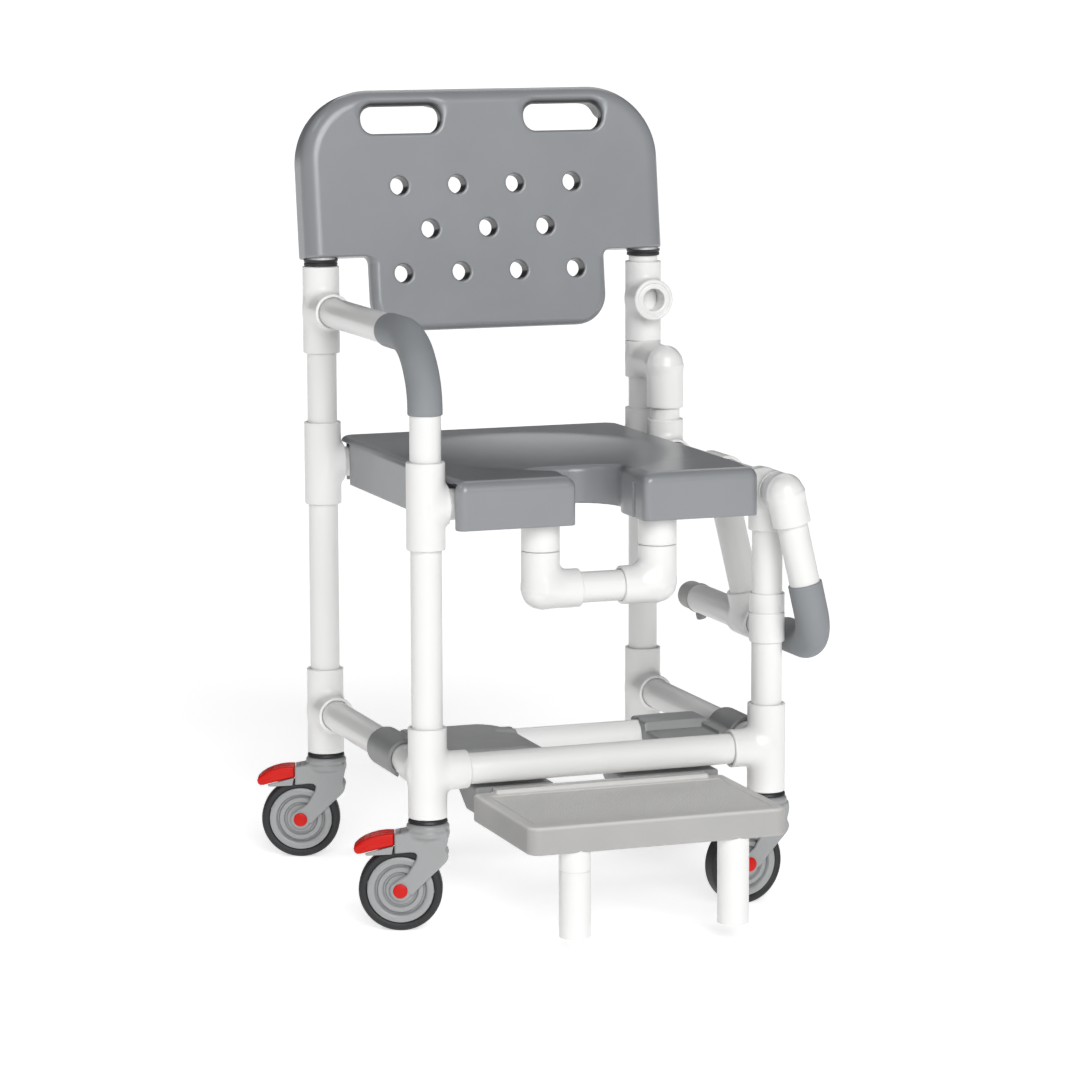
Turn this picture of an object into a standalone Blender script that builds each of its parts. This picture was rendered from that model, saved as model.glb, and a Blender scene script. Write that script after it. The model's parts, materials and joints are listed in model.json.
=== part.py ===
"""Wheeled shower and commode chair in white furniture-grade plastic pipe.

Metres, +Z up, the sitter faces -Y.  Right and left are the sitter's own: right is -X.
The origin is under the middle of the chair's box, on the floor.
"""
import math

import bmesh
import bpy
from mathutils import Matrix, Vector

# ---------------------------------------------------------------- driving dimensions
PIPE_R = 0.0211          # 1 1/4 inch pipe, 42.2 mm outside
PIPE_BORE_R = 0.0175
FITTING_R = 0.0262       # outside of a moulded fitting
KNUCKLE_R = 0.0266       # ball at the corner of an elbow
SOCKET_R = 0.0215        # socket that a glued pipe sits in
RUNNING_R = 0.0221       # bearing bore that the pivot tube turns in
GAP = 0.0003
SEGMENTS = 14            # sides of a round pipe or fitting

POST_X = 0.246           # half the distance between the posts, side to side
POST_Y = 0.2345          # half the distance between the posts, front to back
CENTRE_X = 0.0000        # chair centre in the part's frame
CENTRE_Y = 0.0847

BASE_Z = 0.216           # axis of the base pipes
BASE_FITTING_Z = (0.154, 0.277)
BASE_BRANCH = 0.055
RAIL_Z = 0.576           # axis of the seat pipes and of the drop arm's pivot
SEAT_FITTING_Z = (0.517, 0.635)
SEAT_BRANCH = 0.0285
ARM_Z = 0.796            # axis of an arm that is up
ARM_FITTING_Z = (0.7338, 0.8575)
POST_TOP_Z = 0.995       # measured along a rear post, before it is bent back
POST_BEND_Z = 0.8595
BACK_LEAN = math.radians(8.0)
BRANCH_STOP = 0.0223     # a branch pipe ends this far from the post's axis

SEAT_X = 0.215
SEAT_Y = (-0.280, 0.268)
SEAT_Z = (0.545, 0.611)
SEAT_OPENING_X = 0.048   # half the width of the opening at the front
SEAT_OPENING_WIDE_X = 0.066
SEAT_OPENING_END_Y = -0.080
SEAT_DECK_Z = 0.583      # underside of the deck, between the skirts
SEAT_DISH = 0.015

# The back is laid out upright and then leaned with the posts' tops.
BACK_X = 0.271
BACK_Y = (0.2080, 0.2610)
BACK_PANEL = 0.024       # thickness of the panel
BACK_RIM = 0.026         # width of the deep rim round the panel
BACK_Z = (0.760, 1.105)
BACK_WING_Z = 0.868
BACK_TAB_X = 0.178

LOOP_X = 0.085           # drop pipes of the loop that leaves room for the pan
LOOP_Z = 0.4535
LOOP_BRANCH = 0.055

ARM_REACH = ARM_Z - RAIL_Z
ARM_LEAN = math.radians(13.3)
ARM_FRONT_Y = -0.2965
ARM_STRUT_Y = -0.060
ARM_TUBE_END_Y = 0.132
ARM_CAP_END_Y = 0.175
ARM_BEND_R = 0.052
GRIP_R = 0.0235
BEARING_Y = (0.146, 0.0450)
FRONT_BEARING_HALF = 0.0335

FIXED_BEND_R = 0.095

FOOT_X = 0.112
FOOT_Y = -0.440
FOOT_Z = (0.0265, 0.158)
PLATFORM_X = 0.182
PLATFORM_Y = (-0.463, -0.232)
PLATFORM_Z = (0.143, 0.181)
SADDLE_R = 0.0275        # saddles of the brackets, round the side base pipes
SADDLE_Y = {"right": (-0.145, -0.050), "left": (-0.165, -0.085)}
BRACKET_REAR_Y = {"right": -0.020, "left": -0.038}
BRACKET_INNER_X = {"right": 0.064, "left": 0.120}
TONGUE_INNER_X = {"right": 0.064, "left": 0.035}
TONGUE_OUTER_X = 0.178
BRACKET_FRONT_Y = -0.195
BRACKET_TOP_Z = 0.2325
CROSS_BAR_Y = -0.066     # bar that ties the two brackets
CROSS_BAR_Z = 0.2090
CROSS_BAR_DEPTH = 0.010  # its seat in each bracket

WHEEL_R = 0.0565
WHEEL_HALF_WIDTH = 0.0125
TRAIL = 0.037            # wheel axle behind the swivel axis
SWIVEL_ANGLE = math.radians(-19.9)
CASTOR_TURN = {"rear_left": math.pi, "front_left": math.radians(30)}   # beyond SWIVEL_ANGLE
WHEEL_SEGMENTS = 24

SIDES = {"right": -1.0, "left": 1.0}
ENDS = {"front": -1.0, "rear": 1.0}


# ---------------------------------------------------------------- scene and materials
def clear_scene():
    for item in list(bpy.data.objects):
        bpy.data.objects.remove(item, do_unlink=True)


def make_material(name, colour, roughness, metallic=0.0):
    material = bpy.data.materials.new(name)
    material.use_nodes = True
    shader = material.node_tree.nodes["Principled BSDF"]
    shader.inputs["Base Color"].default_value = (*colour, 1.0)
    shader.inputs["Roughness"].default_value = roughness
    shader.inputs["Metallic"].default_value = metallic
    material.diffuse_color = (*colour, 1.0)
    return material


LOOKS = {
    "white_pipe": ((0.87, 0.87, 0.86), 0.32, 0.0),
    "grey_shell": ((0.165, 0.175, 0.185), 0.42, 0.0),
    "grey_foam": ((0.13, 0.14, 0.15), 0.75, 0.0),
    "light_grey": ((0.42, 0.42, 0.42), 0.45, 0.0),
    "castor_grey": ((0.30, 0.31, 0.32), 0.40, 0.0),
    "tyre_black": ((0.03, 0.032, 0.035), 0.70, 0.0),
    "pedal_red": ((0.68, 0.03, 0.015), 0.35, 0.0),
}


# ---------------------------------------------------------------- solids
def new_mesh(vertices, faces):
    mesh = bpy.data.meshes.new("solid")
    mesh.from_pydata([tuple(v) for v in vertices], [], faces)
    shape = bmesh.new()
    shape.from_mesh(mesh)
    bmesh.ops.recalc_face_normals(shape, faces=shape.faces)
    shape.to_mesh(mesh)
    shape.free()
    return mesh


def side_axes(direction):
    """Two axes square to a direction, chosen the same way for parallel directions."""
    helper = Vector((0, 0, 1)) if abs(direction.z) < 0.9 else Vector((0, 1, 0))
    u = direction.cross(helper).normalized()
    return u, direction.cross(u).normalized()


def ring_points(centre, u, v, radius, count):
    step = 2 * math.pi / count
    angles = [(i + 0.5) * step for i in range(count)]
    return [centre + radius * (math.cos(a) * u + math.sin(a) * v) for a in angles]


def sweep(path, radius, bore=None, count=SEGMENTS):
    """A round bar or tube along a path that bends in one plane."""
    path = [Vector(p) for p in path]
    start = (path[1] - path[0]).normalized()
    u, v = side_axes(start)
    frames = []
    previous = start
    for i, point in enumerate(path):
        before = path[max(i - 1, 0)]
        after = path[min(i + 1, len(path) - 1)]
        direction = (after - before).normalized()
        turn = previous.rotation_difference(direction)
        u = turn @ u
        v = turn @ v
        previous = direction
        frames.append((point, u.copy(), v.copy()))
    outer = [ring_points(p, a, b, radius, count) for p, a, b in frames]
    vertices = [q for ring in outer for q in ring]
    faces = []
    last = len(path) - 1
    for k in range(last):
        for i in range(count):
            j = (i + 1) % count
            faces.append((k * count + i, k * count + j, (k + 1) * count + j, (k + 1) * count + i))
    if bore is None:
        faces.append(tuple(range(count)))
        faces.append(tuple(last * count + i for i in range(count)))
        return new_mesh(vertices, faces)
    offset = len(vertices)
    inner = [ring_points(p, a, b, bore, count) for p, a, b in frames]
    vertices += [q for ring in inner for q in ring]
    for k in range(last):
        for i in range(count):
            j = (i + 1) % count
            a = offset + k * count
            b = offset + (k + 1) * count
            faces.append((a + i, b + i, b + j, a + j))
    for k in (0, last):
        for i in range(count):
            j = (i + 1) % count
            a = k * count
            faces.append((a + i, a + j, offset + a + j, offset + a + i))
    return new_mesh(vertices, faces)


def bar(start, end, radius, count=SEGMENTS):
    return sweep([start, end], radius, None, count)


def prism(outline, low, high, plane="XY"):
    """An outline of (a, b) points extruded across its plane from low to high."""
    place = {
        "XY": lambda a, b, c: (a, b, c),
        "XZ": lambda a, b, c: (a, c, b),
        "YZ": lambda a, b, c: (c, a, b),
    }[plane]
    count = len(outline)
    vertices = [place(a, b, low) for a, b in outline] + [place(a, b, high) for a, b in outline]
    faces = [tuple(range(count)), tuple(range(count, 2 * count))]
    for i in range(count):
        j = (i + 1) % count
        faces.append((i, j, count + j, count + i))
    return new_mesh(vertices, faces)


def box(low, high):
    corners = [(low[0], low[1]), (high[0], low[1]), (high[0], high[1]), (low[0], high[1])]
    return prism(corners, low[2], high[2])


def ball(centre, radius, count=SEGMENTS):
    shape = bmesh.new()
    bmesh.ops.create_uvsphere(shape, u_segments=count, v_segments=count // 2, radius=radius)
    bmesh.ops.translate(shape, verts=shape.verts, vec=centre)
    mesh = bpy.data.meshes.new("solid")
    shape.to_mesh(mesh)
    shape.free()
    return mesh


def lathe(profile, start, direction, count=SEGMENTS):
    """A closed (along, radius) profile turned round an axis."""
    direction = Vector(direction).normalized()
    u, v = side_axes(direction)
    rings = [ring_points(Vector(start) + a * direction, u, v, r, count) for a, r in profile]
    vertices = [q for ring in rings for q in ring]
    faces = []
    for k in range(len(profile)):
        m = (k + 1) % len(profile)
        for i in range(count):
            j = (i + 1) % count
            faces.append((k * count + i, k * count + j, m * count + j, m * count + i))
    return new_mesh(vertices, faces)


def arc(centre, radius, start_deg, end_deg, steps):
    """Points on an arc in a plane, both ends included."""
    span = end_deg - start_deg
    angles = [math.radians(start_deg + span * i / steps) for i in range(steps + 1)]
    return [(centre[0] + radius * math.cos(a), centre[1] + radius * math.sin(a)) for a in angles]


def merge_meshes(meshes):
    """Several separate solids in one mesh, for use as one cutter."""
    shape = bmesh.new()
    for mesh in meshes:
        shape.from_mesh(mesh)
    merged = bpy.data.meshes.new("cutters")
    shape.to_mesh(merged)
    shape.free()
    return merged


def combine(add, cut=()):
    """Union of the solids in add, less the solids in cut."""
    helpers = [bpy.data.objects.new("helper", mesh) for mesh in [*add, *cut]]
    for helper in helpers:
        bpy.context.scene.collection.objects.link(helper)
    base = helpers[0]
    for i, tool in enumerate(helpers[1:], start=1):
        step = base.modifiers.new("step", "BOOLEAN")
        step.solver = "EXACT"
        step.operation = "UNION" if i < len(add) else "DIFFERENCE"
        step.object = tool
    bpy.context.view_layer.update()
    view = base.evaluated_get(bpy.context.evaluated_depsgraph_get())
    result = bpy.data.meshes.new_from_object(view)
    for helper in helpers:
        bpy.data.objects.remove(helper, do_unlink=True)
    return result


def bevelled(mesh, width, segments=2, angle=40):
    helper = bpy.data.objects.new("helper", mesh)
    bpy.context.scene.collection.objects.link(helper)
    step = helper.modifiers.new("rounded_edges", "BEVEL")
    step.width = width
    step.segments = segments
    step.limit_method = "ANGLE"
    step.angle_limit = math.radians(angle)
    bpy.context.view_layer.update()
    view = helper.evaluated_get(bpy.context.evaluated_depsgraph_get())
    result = bpy.data.meshes.new_from_object(view)
    bpy.data.objects.remove(helper, do_unlink=True)
    return result


# ---------------------------------------------------------------- placing
def pivot(name, location, parent=None, turn=0.0):
    empty = bpy.data.objects.new(name, None)
    empty.empty_display_size = 0.03
    empty.location = location
    empty.rotation_euler = (0, 0, turn)
    empty.parent = parent
    bpy.context.scene.collection.objects.link(empty)
    return empty


def place(name, mesh, material, parent, origin=(0, 0, 0)):
    """A node.  The mesh is given in the chair's or castor's own frame; origin is its parent's."""
    mesh.transform(Matrix.Translation(-Vector(origin)))
    mesh.name = name
    mesh.materials.clear()
    mesh.materials.append(material)
    mesh.shade_smooth()
    mesh.set_sharp_from_angle(angle=math.radians(35))
    node = bpy.data.objects.new(name, mesh)
    node.parent = parent
    bpy.context.scene.collection.objects.link(node)
    return node


def tube(start, end):
    return sweep([start, end], PIPE_R, PIPE_BORE_R)


def lean_matrix():
    """Turns what is upright above the bend of the rear posts back by the lean."""
    bend = Vector((0, POST_Y, POST_BEND_Z))
    turn = Matrix.Rotation(-BACK_LEAN, 4, "X")
    return Matrix.Translation(bend) @ turn @ Matrix.Translation(-bend)


def leaned(point):
    return lean_matrix() @ Vector(point)


def post_fitting(x, y, z_range, branches):
    """A sleeve round a post, with side branches given as (axis, z, length, outside radius)."""
    low, high = z_range
    add = [bar((x, y, low), (x, y, high), FITTING_R)]
    cut = [bar((x, y, low - 0.01), (x, y, high + 0.01), SOCKET_R)]
    for axis, z, length, radius in branches:
        axis = Vector(axis)
        root = Vector((x, y, z))
        add.append(bar(root, root + axis * length, radius))
        cut.append(bar(root + axis * 0.002, root + axis * (length + 0.01), SOCKET_R))
    return combine(add, cut)


def elbow(corner, first, second, first_length, second_length, depth=0.026):
    """A right-angled or leaning fitting with two blind sockets."""
    corner = Vector(corner)
    first = Vector(first)
    second = Vector(second)
    add = [
        bar(corner, corner + first * first_length, FITTING_R),
        bar(corner, corner + second * second_length, FITTING_R),
        ball(corner, KNUCKLE_R),
    ]
    cut = []
    for axis, length in ((first, first_length), (second, second_length)):
        mouth = corner + axis * (length + 0.01)
        floor = corner + axis * max(length - depth, 0.0)
        cut.append(bar(floor, mouth, SOCKET_R))
    return combine(add, cut)


# ---------------------------------------------------------------- frame
def build_posts(root, white):
    for end, y_sign in ENDS.items():
        for side, x_sign in SIDES.items():
            x = POST_X * x_sign
            y = POST_Y * y_sign
            path = [(x, y, BASE_FITTING_Z[0] + 0.0005)]
            if end == "rear":
                path += [(x, y, POST_BEND_Z), leaned((x, y, POST_TOP_Z))]
            elif side == "right":
                path.append((x, y, RAIL_Z + 0.012))
            else:
                path.append((x, y, RAIL_Z - FITTING_R - 0.006))
            place(f"post_{end}_{side}", sweep(path, PIPE_R, PIPE_BORE_R), white, root)


def build_base(root, white):
    for end, y_sign in ENDS.items():
        for side, x_sign in SIDES.items():
            branches = [((0, -y_sign, 0), BASE_Z, BASE_BRANCH, FITTING_R)]
            if end == "front":
                branches.append(((-x_sign, 0, 0), BASE_Z, BASE_BRANCH, FITTING_R))
            mesh = post_fitting(POST_X * x_sign, POST_Y * y_sign, BASE_FITTING_Z, branches)
            place(f"base_corner_{end}_{side}", mesh, white, root)

    # The rear stays open, so that the chair rolls over a pan.
    reach = POST_X - BRANCH_STOP
    front = tube((-reach, -POST_Y, BASE_Z), (reach, -POST_Y, BASE_Z))
    place("base_pipe_front", front, white, root)
    for side, x_sign in SIDES.items():
        x = POST_X * x_sign
        reach = POST_Y - BRANCH_STOP
        place(f"base_pipe_{side}", tube((x, -reach, BASE_Z), (x, reach, BASE_Z)), white, root)


def build_seat_rails(root, white):
    for end, side in (("front", "right"), ("rear", "right"), ("rear", "left")):
        x_sign = SIDES[side]
        branch = [((-x_sign, 0, 0), RAIL_Z, SEAT_BRANCH, FITTING_R)]
        mesh = post_fitting(POST_X * x_sign, POST_Y * ENDS[end], SEAT_FITTING_Z, branch)
        place(f"seat_tee_{end}_{side}", mesh, white, root)
    reach = POST_X - BRANCH_STOP
    place("seat_pipe_rear", tube((-reach, POST_Y, RAIL_Z), (reach, POST_Y, RAIL_Z)), white, root)

    # The front seat pipe is cut in two and joined by a loop below the pan opening.  Each half
    # is one piece with the elbow that turns it down.
    for side, x_sign in SIDES.items():
        inner = LOOP_X * x_sign
        corner = Vector((inner, -POST_Y, RAIL_Z))
        add = [
            bar(corner, corner + Vector((0.050 * x_sign, 0, 0)), FITTING_R),
            bar(corner, (reach * x_sign, -POST_Y, RAIL_Z), PIPE_R),
            bar(corner, corner - Vector((0, 0, 0.0685)), FITTING_R),
            ball(corner, KNUCKLE_R),
        ]
        place(f"seat_rail_front_{side}", combine(add), white, root)
        corner = (inner, -POST_Y, LOOP_Z)
        up = elbow(corner, (-x_sign, 0, 0), (0, 0, 1), LOOP_BRANCH, 0.0535)
        place(f"loop_lower_elbow_{side}", up, white, root)
    reach = LOOP_X - LOOP_BRANCH + 0.024
    mesh = tube((-reach, -POST_Y, LOOP_Z), (reach, -POST_Y, LOOP_Z))
    place("loop_pipe", mesh, white, root)


def build_left_loop(root, white):
    """Rear left post: latch receiver, loop tee and the loop that carries the rear bearing."""
    x = POST_X
    ring_z = ARM_Z
    ring_face = 0.045
    body = [
        bar((x, POST_Y, ARM_FITTING_Z[0]), (x, POST_Y, 0.850), FITTING_R),
        bar((x, POST_Y, ring_z), (x, POST_Y - ring_face, ring_z), 0.0300),
    ]
    holes = [
        bar((x, POST_Y, 0.70), (x, POST_Y, 0.87), SOCKET_R),
        bar((x, POST_Y, ring_z), (x, POST_Y - ring_face - 0.01, ring_z), 0.0175),
    ]
    place("latch_receiver", combine(body, holes), white, root)

    branch_z = 0.7070
    loop_y = BEARING_Y[0]
    tee = post_fitting(x, POST_Y, (0.6800, 0.7335), [((0, -1, 0), branch_z, 0.034, 0.0255)])
    place("loop_tee", tee, white, root)

    # The side loop: a spigot into the tee, an elbow, and the pipe down to the bearing.
    corner = Vector((x, loop_y, branch_z))
    spigot_end = (x, POST_Y - BRANCH_STOP, branch_z)
    hub_end = (x, POST_Y - 0.0345, branch_z)
    add = [
        bar(corner, hub_end, FITTING_R),
        bar(corner, spigot_end, PIPE_R),
        bar(corner, (x, loop_y, 0.644), FITTING_R),
        bar(corner, (x, loop_y, RAIL_Z + 0.0305), PIPE_R),
        ball(corner, KNUCKLE_R),
    ]
    place("side_loop", combine(add), white, root)

    half = BEARING_Y[1]
    add = [
        bar((x, loop_y - half, RAIL_Z), (x, loop_y + half, RAIL_Z), FITTING_R),
        bar((x, loop_y, RAIL_Z), (x, loop_y, 0.628), FITTING_R),
    ]
    cut = [
        bar((x, loop_y - half - 0.01, RAIL_Z), (x, loop_y + half - 0.012, RAIL_Z), RUNNING_R),
        bar((x, loop_y, RAIL_Z + 0.0300), (x, loop_y, 0.64), SOCKET_R),
    ]
    place("pivot_bearing_rear", combine(add, cut), white, root)


def build_front_bearing(root, white):
    x = POST_X
    y = -POST_Y
    half = FRONT_BEARING_HALF
    add = [
        bar((x, y - half, RAIL_Z), (x, y + half, RAIL_Z), FITTING_R),
        bar((x, y, RAIL_Z), (x, y, 0.518), FITTING_R),
        bar((x, y, RAIL_Z), (x - SEAT_BRANCH, y, RAIL_Z), FITTING_R),
    ]
    cut = [
        bar((x, y - half - 0.01, RAIL_Z), (x, y + half + 0.01, RAIL_Z), RUNNING_R),
        bar((x, y, RAIL_Z - FITTING_R - 0.0055), (x, y, 0.50), SOCKET_R),
        bar((x - BRANCH_STOP + 0.0002, y, RAIL_Z), (x - 0.05, y, RAIL_Z), SOCKET_R),
    ]
    place("pivot_bearing_front", combine(add, cut), white, root)

    profile = [
        (0.0, SOCKET_R), (0.0, 0.0245), (0.0405, 0.0245), (0.0415, 0.0235),
        (0.0425, 0.0240), (0.0680, 0.0240), (0.0680, SOCKET_R),
    ]
    place("arm_stop", lathe(profile, (x, y, 0.363), (0, 0, 1)), white, root)


def build_fixed_arm(root, white, foam):
    x = -POST_X
    branch = [((0, -1, 0), ARM_Z, 0.050, FITTING_R)]
    mesh = post_fitting(x, POST_Y, ARM_FITTING_Z, branch)
    place("arm_tee_rear_right", mesh, white, root)

    bend = arc((-POST_Y + FIXED_BEND_R, ARM_Z - FIXED_BEND_R), FIXED_BEND_R, 90, 180, 6)
    turn = [(x, a, b) for a, b in bend]
    path = [(x, POST_Y - BRANCH_STOP, ARM_Z), *turn, (x, -POST_Y, RAIL_Z + 0.014)]
    place("fixed_arm_tube", sweep(path, PIPE_R, PIPE_BORE_R), white, root)

    sleeve = [(x, -0.086, ARM_Z), *turn, (x, -POST_Y, 0.697)]
    mesh = sweep(sleeve, GRIP_R, PIPE_R + GAP * 1.3)
    place("fixed_arm_grip", mesh, foam, root)


# ---------------------------------------------------------------- seat and back
def rounded_outline(corners, steps=4):
    """Corners as (x, y, radius), in order round the outline, each rounded by an arc."""
    points = []
    count = len(corners)
    for i, (x, y, radius) in enumerate(corners):
        here = Vector((x, y))
        before = (Vector(corners[i - 1][:2]) - here).normalized()
        after = (Vector(corners[(i + 1) % count][:2]) - here).normalized()
        half = before.angle(after) / 2
        reach = radius / math.tan(half)
        centre = here + (before + after).normalized() * (radius / math.sin(half))
        first = here + before * reach - centre
        last = here + after * reach - centre
        turn = first.angle_signed(last)
        for k in range(steps + 1):
            angle = -turn * k / steps
            c, s = math.cos(angle), math.sin(angle)
            point = centre + Vector((first.x * c - first.y * s, first.x * s + first.y * c))
            points.append((point.x, point.y))
    return points


def build_seat(root, grey):
    front, rear = SEAT_Y
    narrow = SEAT_OPENING_X
    wide = SEAT_OPENING_WIDE_X
    neck_y = front + 0.070
    end_y = SEAT_OPENING_END_Y
    corners = [
        (-SEAT_X, front, 0.012), (-narrow, front, 0.012), (-narrow, neck_y, 0.030),
        (-wide, neck_y + 0.045, 0.030), (-wide, end_y, 0.055), (wide, end_y, 0.055),
        (wide, neck_y + 0.045, 0.030), (narrow, neck_y, 0.030), (narrow, front, 0.012),
        (SEAT_X, front, 0.012), (SEAT_X, rear, 0.025), (-SEAT_X, rear, 0.025),
    ]
    slab = bevelled(prism(rounded_outline(corners, 3), *SEAT_Z), 0.008, 1, 60)

    dish = ball((0, 0, 0), 1.0, 16)
    height = 0.060
    rise = height - SEAT_DISH
    spread = math.sqrt(1 - (rise / height) ** 2)
    dish.transform(Matrix.Diagonal((0.175 / spread, 0.205 / spread, height, 1)))
    dish.transform(Matrix.Translation((0, -0.015, SEAT_Z[1] + rise)))

    # Pockets under the seat sit over the seat pipes, and the deck is thinner between them.
    low = SEAT_Z[0] - 0.01
    high = RAIL_Z + 0.0275
    clear = 0.0285
    tray = [
        box((-0.3, POST_Y - clear, low), (0.3, POST_Y + clear, high)),
        box((-SEAT_X + 0.014, -POST_Y + 0.050, low), (SEAT_X - 0.014, 0.192, SEAT_DECK_Z)),
    ]
    for x_sign in SIDES.values():
        x_low, x_high = sorted(((LOOP_X - clear) * x_sign, 0.3 * x_sign))
        tray.append(box((x_low, -POST_Y - clear, low), (x_high, -POST_Y + clear, high)))
    place("seat", combine([slab], [dish, merge_meshes(tray)]), grey, root)


def stadium(x, z, half_length, radius, steps=4):
    right = arc((x + half_length - radius, z), radius, -90, 90, steps)
    left = arc((x - half_length + radius, z), radius, 90, 270, steps)
    return right + left


def build_back(root, grey):
    low, top = BACK_Z
    near, far = BACK_Y
    wing = BACK_WING_Z
    tab = BACK_TAB_X
    upper = [
        (-BACK_X, wing, 0.014), (BACK_X, wing, 0.014), (BACK_X, top, 0.105), (-BACK_X, top, 0.105),
    ]
    over = wing + 0.050
    lower = [(-tab, low, 0.045), (tab, low, 0.045), (tab, over, 0.010), (-tab, over, 0.010)]
    block = bevelled(prism(rounded_outline(upper, 5), near, far, "XZ"), 0.010, 1, 60)
    panel = bevelled(prism(rounded_outline(lower, 5), near, near + BACK_PANEL, "XZ"), 0.008, 1, 60)

    # Hollow behind the panel, inside the rim and between the post sleeves.
    inner = POST_X - BACK_RIM - 0.003
    hollow = [
        (-inner, wing + 0.010, 0.004), (inner, wing + 0.010, 0.004),
        (inner, top - BACK_RIM, 0.060), (-inner, top - BACK_RIM, 0.060),
    ]
    pocket = prism(rounded_outline(hollow, 4), near + BACK_PANEL, far + 0.02, "XZ")
    cutters = []
    for x_sign in SIDES.values():
        slot = stadium(0.123 * x_sign, 1.0605, 0.0600, 0.0190)
        cutters.append(prism(slot, near - 0.01, near + BACK_PANEL + 0.01, "XZ"))
        x = POST_X * x_sign
        cutters.append(bar((x, POST_Y, wing - 0.02), (x, POST_Y, POST_TOP_Z + 0.003), SOCKET_R))
    for z, count in ((0.9670, 4), (0.9045, 3), (0.8420, 4)):
        for i in range(count):
            x = 0.0872 * (i - (count - 1) / 2)
            cutters.append(bar((x, near - 0.01, z), (x, near + BACK_PANEL + 0.01, z), 0.0135, 12))
    shell = combine([block, panel], [pocket, merge_meshes(cutters)])
    shell.transform(lean_matrix())
    place("back_shell", shell, grey, root)


# ---------------------------------------------------------------- drop arm
def lean_point(distance, y):
    """A point on the lowered arm, a distance from the pivot axis."""
    x = POST_X + distance * math.sin(ARM_LEAN)
    return Vector((x, y, RAIL_Z - distance * math.cos(ARM_LEAN)))


def build_drop_arm(root, white, foam, dark):
    axis = (POST_X, 0.0, RAIL_Z)
    arm = pivot("drop_arm_pivot", axis, root)
    lean = Vector((math.sin(ARM_LEAN), 0, -math.cos(ARM_LEAN)))
    out = (0, 1, 0)
    rear_end = BEARING_Y[0] + BEARING_Y[1] - 0.014
    hub_rear = -POST_Y - FRONT_BEARING_HALF - 0.0008

    start = (POST_X, hub_rear - 0.0150, RAIL_Z)
    place("pivot_tube", tube(start, (POST_X, rear_end, RAIL_Z)), white, arm, axis)

    corner = Vector((POST_X, ARM_FRONT_Y, RAIL_Z))
    knuckle = elbow(corner, out, lean, hub_rear - ARM_FRONT_Y, 0.044, depth=0.0160)
    place("drop_arm_elbow", knuckle, white, arm, axis)

    # One bent tube: down the lean, round the bend, and back along the side.
    y0 = ARM_FRONT_Y
    points = [lean_point(0.0300, y0)]
    for a, b in arc((y0 + ARM_BEND_R, ARM_REACH - ARM_BEND_R), ARM_BEND_R, 180, 90, 6):
        points.append(lean_point(b, a))
    tube_path = [*points, lean_point(ARM_REACH, ARM_TUBE_END_Y)]
    place("drop_arm_tube", sweep(tube_path, PIPE_R, PIPE_BORE_R), white, arm, axis)

    grip_path = [lean_point(0.128, y0), *points[1:], lean_point(ARM_REACH, -0.185)]
    mesh = sweep(grip_path, GRIP_R, PIPE_R + GAP * 1.3)
    place("drop_arm_grip", mesh, foam, arm, axis)

    y1 = ARM_STRUT_Y
    half = 0.034
    add = [
        bar((POST_X, y1 - half, RAIL_Z), (POST_X, y1 + half, RAIL_Z), FITTING_R),
        bar(lean_point(0, y1), lean_point(ARM_REACH, y1), PIPE_R),
        bar(lean_point(ARM_REACH, y1 - half), lean_point(ARM_REACH, y1 + half), FITTING_R),
        bar(lean_point(0, y1), lean_point(0.046, y1), FITTING_R),
        bar(lean_point(ARM_REACH - 0.046, y1), lean_point(ARM_REACH, y1), FITTING_R),
    ]
    cut = []
    for distance, bore in ((0, SOCKET_R), (ARM_REACH, RUNNING_R)):
        start = lean_point(distance, y1 - half - 0.01)
        cut.append(bar(start, lean_point(distance, y1 + half + 0.01), bore))
    place("drop_arm_strut", combine(add, cut), white, arm, axis)

    # End cap with a bore and a slot for the latch bolt's thumb knob.
    tube_end = ARM_TUBE_END_Y
    profile = [(0.0, 0.0006), (0.0, 0.0220), (0.006, 0.0220), (0.007, 0.0205), (0.036, 0.0205)]
    profile += [(0.041, 0.0175), (0.0430, 0.0130), (0.0430, 0.0006)]
    head = lean_point(ARM_REACH, tube_end + 0.0004)
    body = lathe(profile, head, out)
    tip = lean_point(ARM_REACH, ARM_CAP_END_Y + 0.02)
    bore = bar(lean_point(ARM_REACH, tube_end - 0.01), tip, 0.0088, 16)
    slot = box((-0.0062, 0.1335, -0.03), (0.0062, 0.19, 0.0))
    slot.transform(Matrix.Rotation(-ARM_LEAN, 4, "Y"))
    slot.transform(Matrix.Translation(lean_point(ARM_REACH, 0)))
    place("drop_arm_end_cap", combine([body], [bore, slot]), white, arm, axis)

    bolt_origin = lean_point(ARM_REACH, 0.150)
    slide = pivot("latch_bolt_slide", bolt_origin - Vector(axis), arm)
    pin = bar(lean_point(ARM_REACH, 0.136), lean_point(ARM_REACH, 0.1735), 0.0080, 16)
    stem = bar(lean_point(ARM_REACH, 0.1450), lean_point(ARM_REACH + 0.026, 0.1450), 0.0052, 12)
    knob = bar(lean_point(ARM_REACH + 0.0225, 0.1450), lean_point(ARM_REACH + 0.0335, 0.1450),
               0.0075, 12)
    place("latch_bolt", combine([pin, stem, knob]), dark, slide, bolt_origin)


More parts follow.
